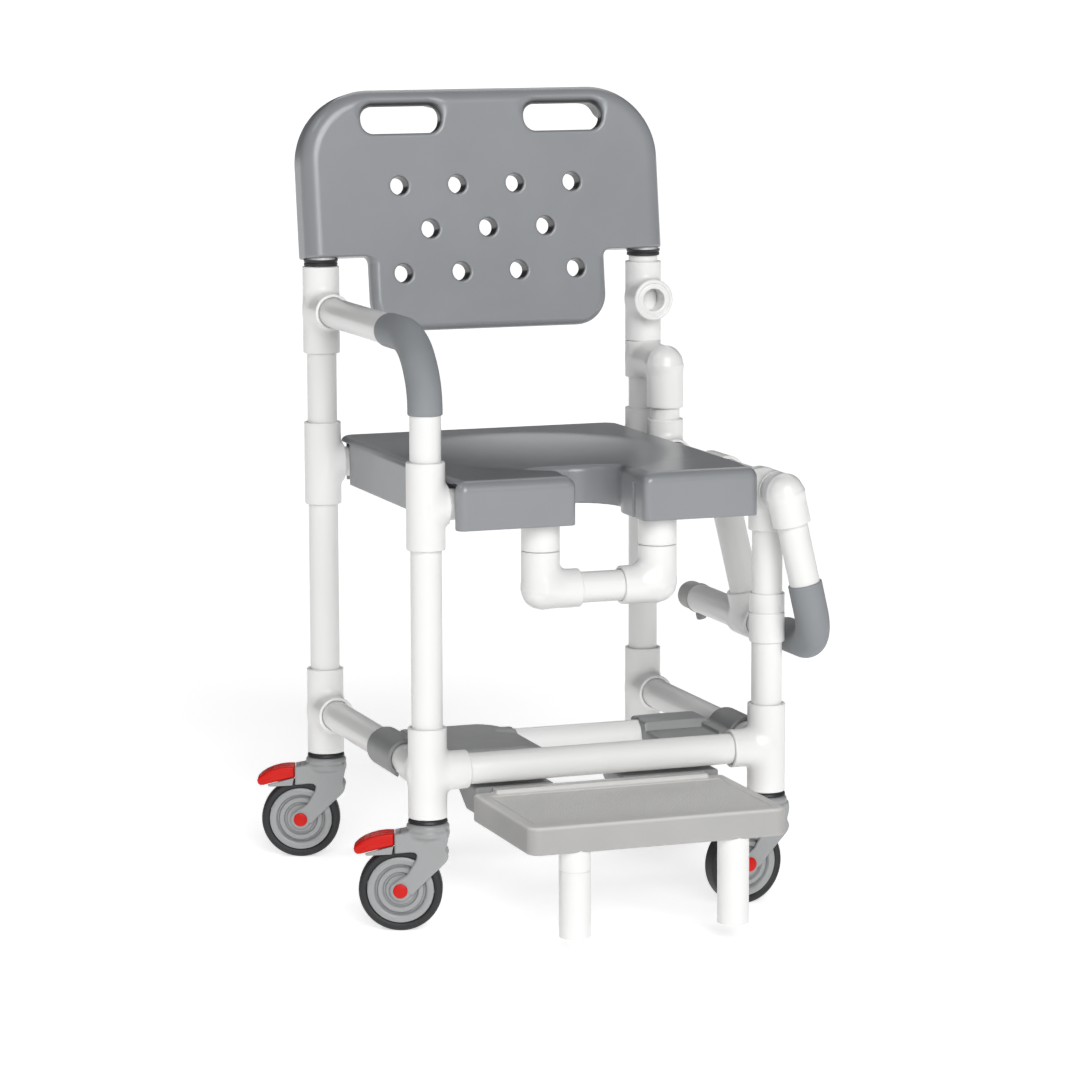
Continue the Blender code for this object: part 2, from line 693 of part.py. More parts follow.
# ---------------------------------------------------------------- footrest
def build_footrest(root, white, light, dark):
    rest = pivot("footrest_slide", (0, 0, BASE_Z), root)
    axis = (0, 0, BASE_Z)
    front, rear = PLATFORM_Y
    low, high = PLATFORM_Z
    r = 0.018
    corners = [(-PLATFORM_X, front, r), (PLATFORM_X, front, r), (PLATFORM_X, rear, 0.008)]
    corners.append((-PLATFORM_X, rear, 0.008))
    slab = bevelled(prism(rounded_outline(corners, 3), low, high), 0.004, 1, 60)
    step = box((-PLATFORM_X + 0.03, rear - 0.020, high - 0.004), (PLATFORM_X - 0.03, rear, 0.1870))
    sockets = []
    for x_sign in SIDES.values():
        x = FOOT_X * x_sign
        sockets.append(bar((x, FOOT_Y, low - 0.01), (x, FOOT_Y, FOOT_Z[1] + GAP), SOCKET_R))
    platform = combine([slab, step], sockets)
    place("footrest_platform", platform, light, rest, axis)

    bar_ends = []
    for side, x_sign in SIDES.items():
        x = FOOT_X * x_sign
        foot = tube((x, FOOT_Y, FOOT_Z[0]), (x, FOOT_Y, FOOT_Z[1]))
        place(f"footrest_foot_{side}", foot, white, rest, axis)

        # Saddle over the base pipe, a flat arm behind the front pipe with a seat for the cross
        # bar, and a tongue that ducks under that pipe to the platform.
        pipe_x = POST_X * x_sign
        saddle_front, saddle_rear = SADDLE_Y[side]
        rear_edge = BRACKET_REAR_Y[side]
        inner = arc((0, 0), PIPE_R + 0.0007, -55, 215, 14)
        outer = arc((0, 0), SADDLE_R, 215, -55, 14)
        ring = [(pipe_x - a * x_sign, BASE_Z + b) for a, b in inner + outer]
        saddle = prism(ring, saddle_front, saddle_rear, "XZ")
        arm_side = (POST_X - SADDLE_R) * x_sign
        arm_end = BRACKET_INNER_X[side] * x_sign
        x_low, x_high = sorted((arm_side, arm_end))
        arm = box((x_low, BRACKET_FRONT_Y, 0.2070), (x_high, rear_edge, BRACKET_TOP_Z))
        joint = rear + 0.0005
        profile = [
            (-0.1200, 0.2080), (BRACKET_FRONT_Y, 0.2080), (BRACKET_FRONT_Y, 0.1880), (joint, 0.1880),
            (joint, 0.1500), (-0.1900, 0.1500), (-0.1200, 0.1950),
        ]
        x_low, x_high = sorted((TONGUE_OUTER_X * x_sign, TONGUE_INNER_X[side] * x_sign))
        tongue = prism(profile, x_low, x_high, "YZ")
        x_low, x_high = sorted((arm_end, arm_end + 0.028 * x_sign))
        seat_block = box(
            (x_low, CROSS_BAR_Y - 0.0260, CROSS_BAR_Z - 0.0255), (x_high, CROSS_BAR_Y + 0.0260, 0.2200)
        )
        bar_ends.append(arm_end + CROSS_BAR_DEPTH * x_sign)
        bar_seat = bar(
            (arm_end - 0.01 * x_sign, CROSS_BAR_Y, CROSS_BAR_Z),
            (bar_ends[-1] + GAP * x_sign, CROSS_BAR_Y, CROSS_BAR_Z), SOCKET_R,
        )

        # A web ties the arm to the saddle.
        web_x = sorted((pipe_x - 0.0300 * x_sign, pipe_x - 0.0225 * x_sign))
        web = box((web_x[0], saddle_front + 0.003, 0.2090), (web_x[1], saddle_rear - 0.003, 0.2240))
        clear = bar((pipe_x, -0.3, BASE_Z), (pipe_x, 0.1, BASE_Z), PIPE_R + 0.0007)
        bracket = combine([saddle, arm, tongue, web, seat_block], [clear, bar_seat])
        place(f"footrest_bracket_{side}", bracket, dark, rest, axis)
    start, end = sorted(bar_ends)
    cross = tube((start, CROSS_BAR_Y, CROSS_BAR_Z), (end, CROSS_BAR_Y, CROSS_BAR_Z))
    place("footrest_cross_bar", cross, white, rest, axis)


# ---------------------------------------------------------------- castors
def build_castor(root, end, side, greys):
    """Local frame: x along the trail's reverse, wheel behind at -TRAIL, z from the floor."""
    grey, black, red = greys
    x = POST_X * SIDES[side]
    y = POST_Y * ENDS[end]
    turn = SWIVEL_ANGLE + CASTOR_TURN.get(f"{end}_{side}", 0)
    swivel = pivot(f"swivel_{end}_{side}", (x, y, 0), root, turn)
    hub = Vector((-TRAIL, 0, WHEEL_R))
    side_view = [
        (-0.0450, 0.1345), (0.0270, 0.1360), (0.0290, 0.1170), (0.0245, 0.1095),
        (0.0280, 0.1010), (0.0255, 0.0930), (0.0117, 0.0785), (-0.0140, 0.0540),
    ]
    side_view += arc((hub.x, hub.z), 0.0150, -35, -235, 6)
    side_view += [(-0.0300, 0.0800), (-0.0150, 0.1070), (-0.0450, 0.1065)]
    body = prism(side_view, -0.0195, 0.0195, "XZ")
    add = [
        body,
        bar((0, 0, 0.1300), (0, 0, 0.1455), 0.0290),
        bar((0, 0, 0.1400), (0, 0, 0.1535), 0.0245),
        bar((0, 0, 0.1500), (0, 0, 0.1900), 0.0160, 12),
    ]
    slot = box((-0.2, -0.0140, 0.0), (0.06, 0.0140, 0.1165))
    notch = box((-0.2, -0.0140, 0.0900), (-0.0360, 0.0140, 0.14))
    shell = combine(add, [slot, notch])
    axle = bar((hub.x, -0.0170, hub.z), (hub.x, 0.0170, hub.z), 0.0040, 12)
    place(f"castor_fork_{end}_{side}", combine([shell, axle]), grey, swivel)

    spin = pivot(f"spin_{end}_{side}", hub, swivel)
    half = WHEEL_HALF_WIDTH
    rim_r = 0.0450
    rim = [
        (-half, 0.0046), (-half, 0.0200), (-half + 0.001, rim_r), (half - 0.001, rim_r),
        (half, 0.0200), (half, 0.0046),
    ]
    place(f"wheel_{end}_{side}", lathe(rim, (0, 0, 0), (0, 1, 0), WHEEL_SEGMENTS), grey, spin)
    flat_r = WHEEL_R / math.cos(math.pi / WHEEL_SEGMENTS)
    tread = [
        (-half, rim_r + GAP), (-half, WHEEL_R - 0.005), (-half + 0.005, flat_r),
        (half - 0.005, flat_r), (half, WHEEL_R - 0.005), (half, rim_r + GAP),
    ]
    place(f"tyre_{end}_{side}", lathe(tread, (0, 0, 0), (0, 1, 0), WHEEL_SEGMENTS), black, spin)

    hinge_at = Vector((-0.0440, 0, 0.1200))
    press = pivot(f"pedal_hinge_{end}_{side}", hinge_at, swivel)
    outline = [
        (-0.0457, 0.1175), (-0.0457, 0.1345), (-0.0715, 0.1325), (-0.0885, 0.1270),
        (-0.0990, 0.1175), (-0.0975, 0.1090), (-0.0930, 0.1060), (-0.0820, 0.1090),
    ]
    pad = prism(outline, -0.0175, 0.0175, "XZ")
    tongue = box((-0.0500, -0.0125, 0.1178), (-0.0390, 0.0125, 0.1290))
    place(f"pedal_{end}_{side}", combine([pad, tongue]), red, press, hinge_at)


def main():
    clear_scene()
    materials = {name: make_material(name, *look) for name, look in LOOKS.items()}
    white = materials["white_pipe"]
    grey = materials["grey_shell"]
    foam = materials["grey_foam"]
    root = pivot("chair", (CENTRE_X, CENTRE_Y, 0))
    build_posts(root, white)
    build_base(root, white)
    build_seat_rails(root, white)
    build_left_loop(root, white)
    build_front_bearing(root, white)
    build_fixed_arm(root, white, foam)
    build_seat(root, grey)
    build_back(root, grey)
    build_drop_arm(root, white, foam, materials["castor_grey"])
    build_footrest(root, white, materials["light_grey"], grey)
    greys = (materials["castor_grey"], materials["tyre_black"], materials["pedal_red"])
    for end in ENDS:
        for side in SIDES:
            build_castor(root, end, side, greys)


main()
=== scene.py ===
"""The looks of a wheeled shower and commode chair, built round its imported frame.

Metres, +Z up, the sitter faces -Y.  Right and left are the sitter's own: right is -X.
Moulded pieces are distance fields turned into meshes; pipes, wheels and grips are swept or turned.
"""
import json
import math

import bpy
import numpy as np
from mathutils import Matrix, Vector


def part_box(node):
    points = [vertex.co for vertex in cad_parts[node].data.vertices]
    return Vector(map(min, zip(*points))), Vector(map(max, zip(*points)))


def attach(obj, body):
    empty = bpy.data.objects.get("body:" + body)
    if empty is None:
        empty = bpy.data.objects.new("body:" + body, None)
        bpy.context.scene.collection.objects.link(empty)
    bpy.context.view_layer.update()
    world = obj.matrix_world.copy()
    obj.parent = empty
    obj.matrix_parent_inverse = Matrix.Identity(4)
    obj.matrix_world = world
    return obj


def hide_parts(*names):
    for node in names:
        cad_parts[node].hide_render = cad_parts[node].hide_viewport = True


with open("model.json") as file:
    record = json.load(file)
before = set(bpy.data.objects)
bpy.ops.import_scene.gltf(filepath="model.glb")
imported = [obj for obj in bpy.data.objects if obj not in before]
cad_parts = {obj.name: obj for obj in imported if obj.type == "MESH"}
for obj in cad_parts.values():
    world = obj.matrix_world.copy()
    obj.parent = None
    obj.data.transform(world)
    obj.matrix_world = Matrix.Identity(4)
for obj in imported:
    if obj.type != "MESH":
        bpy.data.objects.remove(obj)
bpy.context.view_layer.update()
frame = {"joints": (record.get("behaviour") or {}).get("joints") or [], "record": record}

JOINTS = {joint["name"]: joint for joint in frame["joints"]}
SIDES = {"right": -1.0, "left": 1.0}
ENDS = {"front": -1.0, "rear": 1.0}


# ---- measures from the frame
def middle(node):
    low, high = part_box(node)
    return (low + high) / 2


def low_of(node):
    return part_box(node)[0]


def high_of(node):
    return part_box(node)[1]


def frame_mount(name):
    mount = next(m for m in frame["record"]["mounts"] if m["name"] == name)
    return Vector(mount["pos_m"]), Vector(mount["axis"])


CENTRE = Vector((middle("base_pipe_front").x, middle("base_pipe_left").y, 0))
POST_X = middle("post_front_left").x - CENTRE.x
POST_Y = CENTRE.y - middle("base_pipe_front").y
PIPE_R = (high_of("post_front_left").y - low_of("post_front_left").y) / 2
PIPE_BORE_R = PIPE_R - 0.0036
FITTING_R = PIPE_R + 0.0051
SOCKET_R = PIPE_R + 0.0004
RUNNING_R = PIPE_R + 0.001
ELBOW_R = 0.0266                  # from an elbow's axis to the edge of its box
LIP = 0.0014                      # rounded edge of a fitting's mouth
FILLET = 0.009                    # blend between the arms of a fitting
PIPE_STOP = 0.0223                # from a post's axis to the end of a pipe that butts on it
PAST = 0.01                       # how far a bore runs out past its mouth
UP = Vector((0, 0, 1))
REARWARD = Vector((0, 1, 0))

BASE_Z = middle("base_pipe_front").z
FOOT_SEAM_Z = 0.116
RAIL_Z = JOINTS["drop_arm_hinge"]["pos_m"][2]
LOOP_Z = middle("loop_pipe").z
ARM_Z = high_of("fixed_arm_tube").z - PIPE_R


def at(x, y, z):
    """A point given from the middle of the four posts."""
    return Vector((CENTRE.x + x, CENTRE.y + y, z))


def centred(p):
    """Coordinates of points, measured from the middle of the four posts."""
    return p[:, 0] - CENTRE.x, p[:, 1] - CENTRE.y, p[:, 2]


def y_ends(node):
    """Front and rear of a node, measured from the middle of the four posts."""
    low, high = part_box(node)
    return low.y - CENTRE.y, high.y - CENTRE.y


def z_ends(node):
    return low_of(node).z, high_of(node).z


def post(end, side, z=0.0):
    return at(POST_X * SIDES[side], POST_Y * ENDS[end], z)


ARM_TEE_Z = z_ends("arm_tee_rear_right")

# The tops of the rear posts and the back lean back above this height.
BEND_Z = ARM_TEE_Z[1] + 0.002
BACK_FACE, BACK_AXIS = frame_mount("back_front")
BACK_LEAN = math.atan2(BACK_AXIS.z, -BACK_AXIS.y)
BEND = at(0, POST_Y, BEND_Z)
LEAN_BACK = Matrix.Translation(BEND) @ Matrix.Rotation(-BACK_LEAN, 4, "X")
LEAN_BACK = LEAN_BACK @ Matrix.Translation(-BEND)


def upright(p):
    """Points on the leaning back, taken to where they are before it leans."""
    turn = np.array(LEAN_BACK.inverted())
    return p @ turn[:3, :3].T + turn[:3, 3]


# ---- distance fields
def span(value, low, high):
    return np.abs(value - (low + high) / 2) - (high - low) / 2


def meet(a, b, edge):
    """Where two solids overlap, with a rounded edge between their faces."""
    a = a + edge
    b = b + edge
    return np.minimum(np.maximum(a, b), 0) + np.hypot(np.maximum(a, 0), np.maximum(b, 0)) - edge


def rod(p, start, end, radius, edge=0.0003):
    """Distance to a round bar with rounded rims."""
    start = np.array(start)
    axis = np.array(end) - start
    length = float(np.linalg.norm(axis))
    axis = axis / length
    along = (p - start) @ axis
    out = np.linalg.norm(p - start - along[:, None] * axis, axis=1)
    return meet(out - radius, span(along, 0, length), edge)


def ball(p, centre, radius):
    return np.linalg.norm(p - np.array(centre), axis=1) - radius


def block(p, low, high, edge=0.0003):
    """Distance to a box with rounded edges."""
    low = np.array(low)
    high = np.array(high)
    q = np.abs(p - (low + high) / 2) - (high - low) / 2 + edge
    return np.minimum(q.max(axis=1), 0) + np.linalg.norm(np.maximum(q, 0), axis=1) - edge


def plate(x, y, low, high, radii):
    """Distance in a plane to a rectangle; radii are for the low-y and the high-y corners."""
    radius = np.where(y > (low[1] + high[1]) / 2, radii[1], radii[0])
    return meet(span(x, low[0], high[0]), span(y, low[1], high[1]), radius)


def polygon(x, y, corners):
    """Distance in a plane to a closed outline."""
    best = np.full(x.shape, 1e9)
    inside = np.zeros(x.shape, bool)
    for (ax, ay), (bx, by) in zip(corners, corners[-1:] + corners[:-1]):
        ex, ey = bx - ax, by - ay
        t = np.clip(((x - ax) * ex + (y - ay) * ey) / (ex * ex + ey * ey), 0, 1)
        best = np.minimum(best, np.hypot(x - ax - t * ex, y - ay - t * ey))
        if ay != by:
            crosses = ((ay > y) != (by > y)) & (x < ex * (y - ay) / ey + ax)
            inside ^= crosses
    return np.where(inside, -best, best)


def join(a, b, blend=0.0008):
    """Both solids, with a fillet."""
    h = np.clip(0.5 + 0.5 * (b - a) / blend, 0, 1)
    return b + (a - b) * h - blend * h * (1 - h)


def carve(a, b, blend=0.0008):
    """The first solid less the second."""
    return -join(-a, b, blend)


# ---- meshes
def crossings(value):
    """Quads round every grid edge where the field changes sign."""
    inside = value < 0
    quads = []
    nx, ny, nz = value.shape
    index = np.arange((nx - 1) * (ny - 1) * (nz - 1)).reshape(nx - 1, ny - 1, nz - 1)
    for axis in range(3):
        u, v = [(1, 2), (2, 0), (0, 1)][axis]
        first = [slice(1, -1)] * 3
        second = [slice(1, -1)] * 3
        first[axis] = slice(0, -1)
        second[axis] = slice(1, None)
        a = inside[tuple(first)]
        b = inside[tuple(second)]
        corners = []
        for du, dv in ((1, 1), (0, 1), (0, 0), (1, 0)):
            cell = [slice(None)] * 3
            cell[u] = slice(0, -1) if du else slice(1, None)
            cell[v] = slice(0, -1) if dv else slice(1, None)
            corners.append(index[tuple(cell)])
        leaving = a & ~b
        entering = ~a & b
        quads.append(np.stack([c[leaving] for c in corners], -1))
        quads.append(np.stack([c[entering] for c in corners[::-1]], -1))
    return np.concatenate(quads)


def slopes(field, p, reach=0.00015):
    """The field's gradient by central differences."""
    parts = []
    for axis in range(3):
        shift = np.zeros(3)
        shift[axis] = reach
        parts.append((field(p + shift) - field(p - shift)) / (2 * reach))
    return np.stack(parts, -1)


def surface(field, low, high, step):
    """Vertices, quads and normals of a field's zero surface."""
    margin = 2.5 * step
    low = np.array(low) - margin
    counts = np.ceil((np.array(high) + margin - low) / step).astype(int) + 1
    counts += (-counts) % 4
    # The field is first read in coarse cells of four steps, then in full near the surface.
    axes = [low[i] + step * np.arange(counts[i]) for i in range(3)]
    coarse_axes = [a[::4] + 1.5 * step for a in axes]
    coarse = np.stack(np.meshgrid(*coarse_axes, indexing="ij"), -1).reshape(-1, 3)
    value = field(coarse).reshape([len(a) for a in coarse_axes])
    for axis in range(3):
        value = value.repeat(4, axis=axis)
    near = np.argwhere(np.abs(value) < 4.5 * step)
    value[tuple(near.T)] = field(low + near * step)
    quads = crossings(value)
    used, quads = np.unique(quads, return_inverse=True)
    quads = quads.reshape(-1, 4)
    cells = np.stack(np.unravel_index(used, [n - 1 for n in value.shape]), -1)
    p = low + (cells + 0.5) * step
    pairs = np.concatenate([quads[:, [k, (k + 1) % 4]] for k in range(4)])
    # Points are pulled onto the surface, and evened out along it in the first rounds.
    for turn in range(5):
        slope = slopes(field, p)
        size = np.maximum((slope ** 2).sum(1), 0.05)
        move = -(field(p) / size)[:, None] * slope
        limit = np.maximum(np.linalg.norm(move, axis=1) / step, 1)[:, None]
        p = p + move / limit
        if turn < 3:
            total = np.zeros_like(p)
            count = np.zeros(len(p))
            np.add.at(total, pairs[:, 0], p[pairs[:, 1]])
            np.add.at(count, pairs[:, 0], 1)
            mean = total / np.maximum(count, 1)[:, None]
            slope = slope / np.maximum(np.linalg.norm(slope, axis=1), 1e-6)[:, None]
            drift = mean - p
            drift -= (drift * slope).sum(1)[:, None] * slope
            p = p + 0.5 * drift
    normal = slopes(field, p)
    normal /= np.maximum(np.linalg.norm(normal, axis=1), 1e-6)[:, None]
    return p, quads, normal


def make_mesh(name, vertices, faces, normals=None):
    mesh = bpy.data.meshes.new(name)
    mesh.from_pydata([tuple(v) for v in vertices], [], [tuple(f) for f in faces])
    mesh.shade_smooth()
    if normals is not None:
        mesh.normals_split_custom_set_from_vertices([tuple(n) for n in normals])
    return mesh


def sculpt(name, field, low, high, step):
    vertices, quads, normals = surface(field, low, high, step)
    return make_mesh(name, vertices, quads.tolist(), normals)


def side_axes(direction):
    helper = Vector((0, 0, 1)) if abs(direction.z) < 0.9 else Vector((0, 1, 0))
    u = direction.cross(helper).normalized()
    return u, direction.cross(u).normalized()


def loft(name, rings):
    """Faces between rings of points; the last ring joins the first."""
    count = len(rings[0])
    vertices = [q for ring in rings for q in ring]
    faces = []
    for k in range(len(rings)):
        m = (k + 1) % len(rings)
        for i in range(count):
            j = (i + 1) % count
            faces.append((k * count + i, k * count + j, m * count + j, m * count + i))
    mesh = make_mesh(name, vertices, faces)
    mesh.set_sharp_from_angle(angle=math.radians(40))
    return mesh


def ring_points(centre, radius, u, v, count):
    angles = [2 * math.pi * (i + 0.5) / count for i in range(count)]
    return [centre + radius * (math.cos(t) * u + math.sin(t) * v) for t in angles]


def sweep(name, path, section):
    """A pipe swept on a path.

    section is (outer radius, rim at both ends as (inset, radius), bore radius)."""
    path = [Vector(p) for p in path]
    u, v = side_axes((path[1] - path[0]).normalized())
    stations = []
    previous = (path[1] - path[0]).normalized()
    for i, point in enumerate(path):
        direction = (path[min(i + 1, len(path) - 1)] - path[max(i - 1, 0)]).normalized()
        turn = previous.rotation_difference(direction)
        u, v, previous = turn @ u, turn @ v, direction
        stations.append((point, direction, u.copy(), v.copy()))

    def ring(station, inset, radius):
        point, direction, a, b = station
        return ring_points(point + direction * inset, radius, a, b, 64)

    outer, ends, inner = section
    rings = [ring(stations[0], inset, radius) for inset, radius in ends]
    rings += [ring(s, 0, outer) for s in stations[1:-1]]
    rings += [ring(stations[-1], -inset, radius) for inset, radius in reversed(ends)]
    rings += [ring(s, 0, inner) for s in reversed(stations)]
    return loft(name, rings)


def rim(outer, inner, edge, steps=4):
    """Rounded rim at a tube's end, from the bore out to the wall, as (inset, radius)."""
    points = [(0.0, inner + edge * 0.4)]
    for k in range(steps + 1):
        angle = math.pi / 2 * k / steps
        points.append((edge * (1 - math.sin(angle)), outer - edge * (1 - math.cos(angle))))
    points[1:] = sorted(points[1:], key=lambda q: q[1])
    return points


def tube(name, path):
    return sweep(name, path, (PIPE_R, rim(PIPE_R, PIPE_BORE_R, 0.0008), PIPE_BORE_R))


def turned(name, profile, start, direction, count=96):
    """A closed (along, radius) profile turned round an axis."""
    start = Vector(start)
    direction = Vector(direction).normalized()
    u, v = side_axes(direction)
    return loft(name, [ring_points(start + along * direction, radius, u, v, count)
                       for along, radius in profile])


def mm(*points):
    """Points of an outline or a profile, given in millimetres."""
    return [(a / 1000, b / 1000) for a, b in points]


def arc(centre, radius, start_deg, end_deg, steps):
    span_deg = end_deg - start_deg
    angles = [math.radians(start_deg + span_deg * i / steps) for i in range(steps + 1)]
    return [(centre[0] + radius * math.cos(a), centre[1] + radius * math.sin(a)) for a in angles]


# ---- materials
def set_inputs(node, **values):
    """Sets sockets by name; an underscore stands for a space."""
    for name, value in values.items():
        node.inputs[name.replace("_", " ")].default_value = value


def plastic(name, colour, roughness, grain, grain_depth, mottle=0.03, specular=0.5, coat=0.0):
    """Moulded plastic: mottled colour, uneven gloss, and a fine grain."""
    material = bpy.data.materials.new(name)
    material.use_nodes = True
    nodes = material.node_tree.nodes
    links = material.node_tree.links
    shader = nodes["Principled BSDF"]
    set_inputs(shader, Specular_IOR_Level=specular, Coat_Weight=coat, Coat_Roughness=0.12)
    place = nodes.new("ShaderNodeTexCoord")

    def noise(scale, detail):
        node = nodes.new("ShaderNodeTexNoise")
        set_inputs(node, Scale=scale, Detail=detail)
        links.new(place.outputs["Object"], node.inputs["Vector"])
        return node

    cloud = noise(9.0, 4.0)
    ramp = nodes.new("ShaderNodeValToRGB")
    stops = zip(ramp.color_ramp.elements, (0.3, 0.7), (1 - mottle, 1 + mottle))
    for stop, position, factor in stops:
        stop.position = position
        stop.color = (*[min(c * factor, 1.0) for c in colour], 1)
    links.new(cloud.outputs["Fac"], ramp.inputs["Fac"])
    links.new(ramp.outputs["Color"], shader.inputs["Base Color"])

    smear = noise(55.0, 6.0)
    gloss = nodes.new("ShaderNodeMapRange")
    set_inputs(gloss, To_Min=roughness * 0.86, To_Max=roughness * 1.16)
    links.new(smear.outputs["Fac"], gloss.inputs["Value"])
    links.new(gloss.outputs["Result"], shader.inputs["Roughness"])

    fine = noise(grain, 3.0)
    bump = nodes.new("ShaderNodeBump")
    set_inputs(bump, Strength=0.5, Distance=grain_depth)
    links.new(fine.outputs["Fac"], bump.inputs["Height"])
    links.new(bump.outputs["Normal"], shader.inputs["Normal"])
    return material


# A Mix node has several sockets of one name; these are its two colours in and its colour out.
MIX_A, MIX_B, MIX_OUT = 6, 7, 2


def tint(material, attribute, colour):
    """Turns a plastic towards a colour where a mesh attribute rises to one."""
    nodes = material.node_tree.nodes
    links = material.node_tree.links
    socket = nodes["Principled BSDF"].inputs["Base Color"]
    before = socket.links[0].from_socket
    share = nodes.new("ShaderNodeAttribute")
    share.attribute_name = attribute
    blend = nodes.new("ShaderNodeMix")
    blend.data_type = "RGBA"
    links.new(share.outputs["Fac"], blend.inputs["Factor"])
    links.new(before, blend.inputs[MIX_A])
    blend.inputs[MIX_B].default_value = (*colour, 1)
    links.new(blend.outputs[MIX_OUT], socket)


def mark(mesh, attribute, share):
    """Stores share(points), kept between zero and one, at the points of a mesh."""
    points = np.empty(len(mesh.vertices) * 3)
    mesh.vertices.foreach_get("co", points)
    values = np.clip(share(points.reshape(-1, 3)), 0, 1)
    layer = mesh.attributes.new(attribute, "FLOAT", "POINT")
    layer.data.foreach_set("value", values.astype(np.float32))


WHITE = plastic("white_pvc", (0.8, 0.8, 0.79), 0.32, 420.0, 0.0001, mottle=0.01, coat=0.1)
SHELL, PAINTED_SHADE_BACK_SHELL = (
    plastic(name, (0.246, 0.255, 0.269), 0.3, 1100.0, 0.00022, specular=0.62, coat=0.12)
    for name in ("grey_shell", "grey_back_shell_painted_shade")
)
# Painted shade: this copy of the shell turns nearly black on the walls inside the back's holes and
# hand slots.
tint(PAINTED_SHADE_BACK_SHELL, "painted_hole_shade", (0.045, 0.047, 0.05))
FOAM = plastic("grip_foam", (0.262, 0.275, 0.289), 0.6, 1700.0, 0.0006, mottle=0.07, specular=0.3)
TREAD = plastic("light_grey_tread", (0.395, 0.391, 0.385), 0.44, 900.0, 0.00035, mottle=0.04)
# Painted light: the footrest's top faces, rim and rail tops included, are painted lighter than its
# sides.
tint(TREAD, "lid", (0.66, 0.652, 0.64))
BRACKET = plastic("bracket_grey", (0.272, 0.275, 0.279), 0.42, 900.0, 0.0003, mottle=0.05)
CASTOR = plastic("castor_grey", (0.306, 0.312, 0.316), 0.36, 900.0, 0.0002, mottle=0.03)
TYRE = plastic("tyre_rubber", (0.018, 0.019, 0.021), 0.5, 1500.0, 0.0003, mottle=0.12, specular=0.4)
RED = plastic("pedal_red", (0.56, 0.008, 0.004), 0.36, 800.0, 0.00015, mottle=0.04, specular=0.25)
DARK = plastic("dark_collar", (0.018, 0.019, 0.021), 0.45, 900.0, 0.0002, mottle=0.08)


# ---- placing
def show(name, mesh, material, body, slot, *nodes):
    """A visible piece: it rides on a body, and stands for CAD nodes."""
    mesh.materials.append(material)
    piece = bpy.data.objects.new(name, mesh)
    bpy.context.scene.collection.objects.link(piece)
    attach(piece, body)
    if nodes:
        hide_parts(*nodes)
    return piece


def white(name, mesh, body, *nodes):
    show(name, mesh, WHITE, body, "white_pipe", *nodes)


# ---- pipes
def straight_pipes():
    """Every straight pipe, from its node's box."""
    pipes = {
        "frame": ("post_front_right", "post_front_left", "base_pipe_front", "base_pipe_left",
                  "base_pipe_right", "seat_pipe_rear", "loop_pipe"),
        "drop_arm": ("pivot_tube",),
        "footrest": ("footrest_cross_bar", "footrest_foot_left", "footrest_foot_right"),
    }
    for body, node in ((body, node) for body, nodes in pipes.items() for node in nodes):
        low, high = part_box(node)
        size = high - low
        axis = max(range(3), key=lambda i: size[i])
        start = middle(node)
        end = middle(node)
        start[axis] = low[axis]
        end[axis] = high[axis]
        # One foot is made of two lengths, with a seam between them.
        seams = [0, (FOOT_SEAM_Z - low.z) / size.z, 1] if node == "footrest_foot_right" else [0, 1]
        for part, (first, last) in enumerate(zip(seams, seams[1:])):
            points = [start.lerp(end, first + (last - first) * k / 6) for k in range(7)]
            white(f"{node}_pipe_{part}", tube(f"{node}_{part}", points), body, node)


def rear_posts():
    """Posts that are bent back above the arm fittings."""
    for side in SIDES:
        node = f"post_rear_{side}"
        bottom = post("rear", side, low_of(node).z)
        points = [bottom.lerp(post("rear", side, BEND_Z - 0.006), k / 6) for k in range(7)]
        rise = (high_of(node).z - BEND_Z) / math.cos(BACK_LEAN) - PIPE_R * math.tan(BACK_LEAN)
        for share in (0.05, 0.3, 0.6, 1.0):
            points.append(LEAN_BACK @ post("rear", side, BEND_Z + rise * share))
        white(f"{node}_pipe", tube(node, points), "frame", node)


# ---- fittings
def fitting(arms, bores, ball_at=None, pipes=(), blend=FILLET):
    """A moulded fitting: arms blended together, then bored."""
    def field(p):
        d = None
        for start, end, radius in arms:
            arm = rod(p, start, end, radius, LIP)
            d = arm if d is None else join(d, arm, blend)
        if ball_at is not None:
            d = join(d, ball(p, ball_at, FITTING_R), 0.004)
        for start, end, radius in pipes:
            d = join(d, rod(p, start, end, radius, 0.0006), 0.0004)
        for start, end, radius in bores:
            d = carve(d, rod(p, start, end, radius), 0.0005)
        return d

    ends = [q for start, end, radius in [*arms, *pipes] for q in (start, end)]
    reach = max(radius for start, end, radius in [*arms, *pipes])
    low = [min(q[i] for q in ends) - reach for i in range(3)]
    high = [max(q[i] for q in ends) + reach for i in range(3)]
    return field, low, high


def fitting_piece(node, body, *shape, **options):
    mesh = sculpt(node, *fitting(*shape, **options), 0.0019)
    white(f"{node}_fitting", mesh, body, node)


def post_tee(node, end, side, z_range, branches):
    """A sleeve round a post with side branches, as (direction, z, length)."""
    low, high = (post(end, side, z) for z in z_range)
    arms = [(low, high, FITTING_R)]
    bores = [(low - UP * PAST, high + UP * PAST, SOCKET_R)]
    for direction, z, length in branches:
        direction = Vector(direction)
        root = post(end, side, z)
        arms.append((root, root + direction * length, FITTING_R))
        bores.append((root, root + direction * (length + PAST), SOCKET_R))
    fitting_piece(node, "frame", arms, bores)


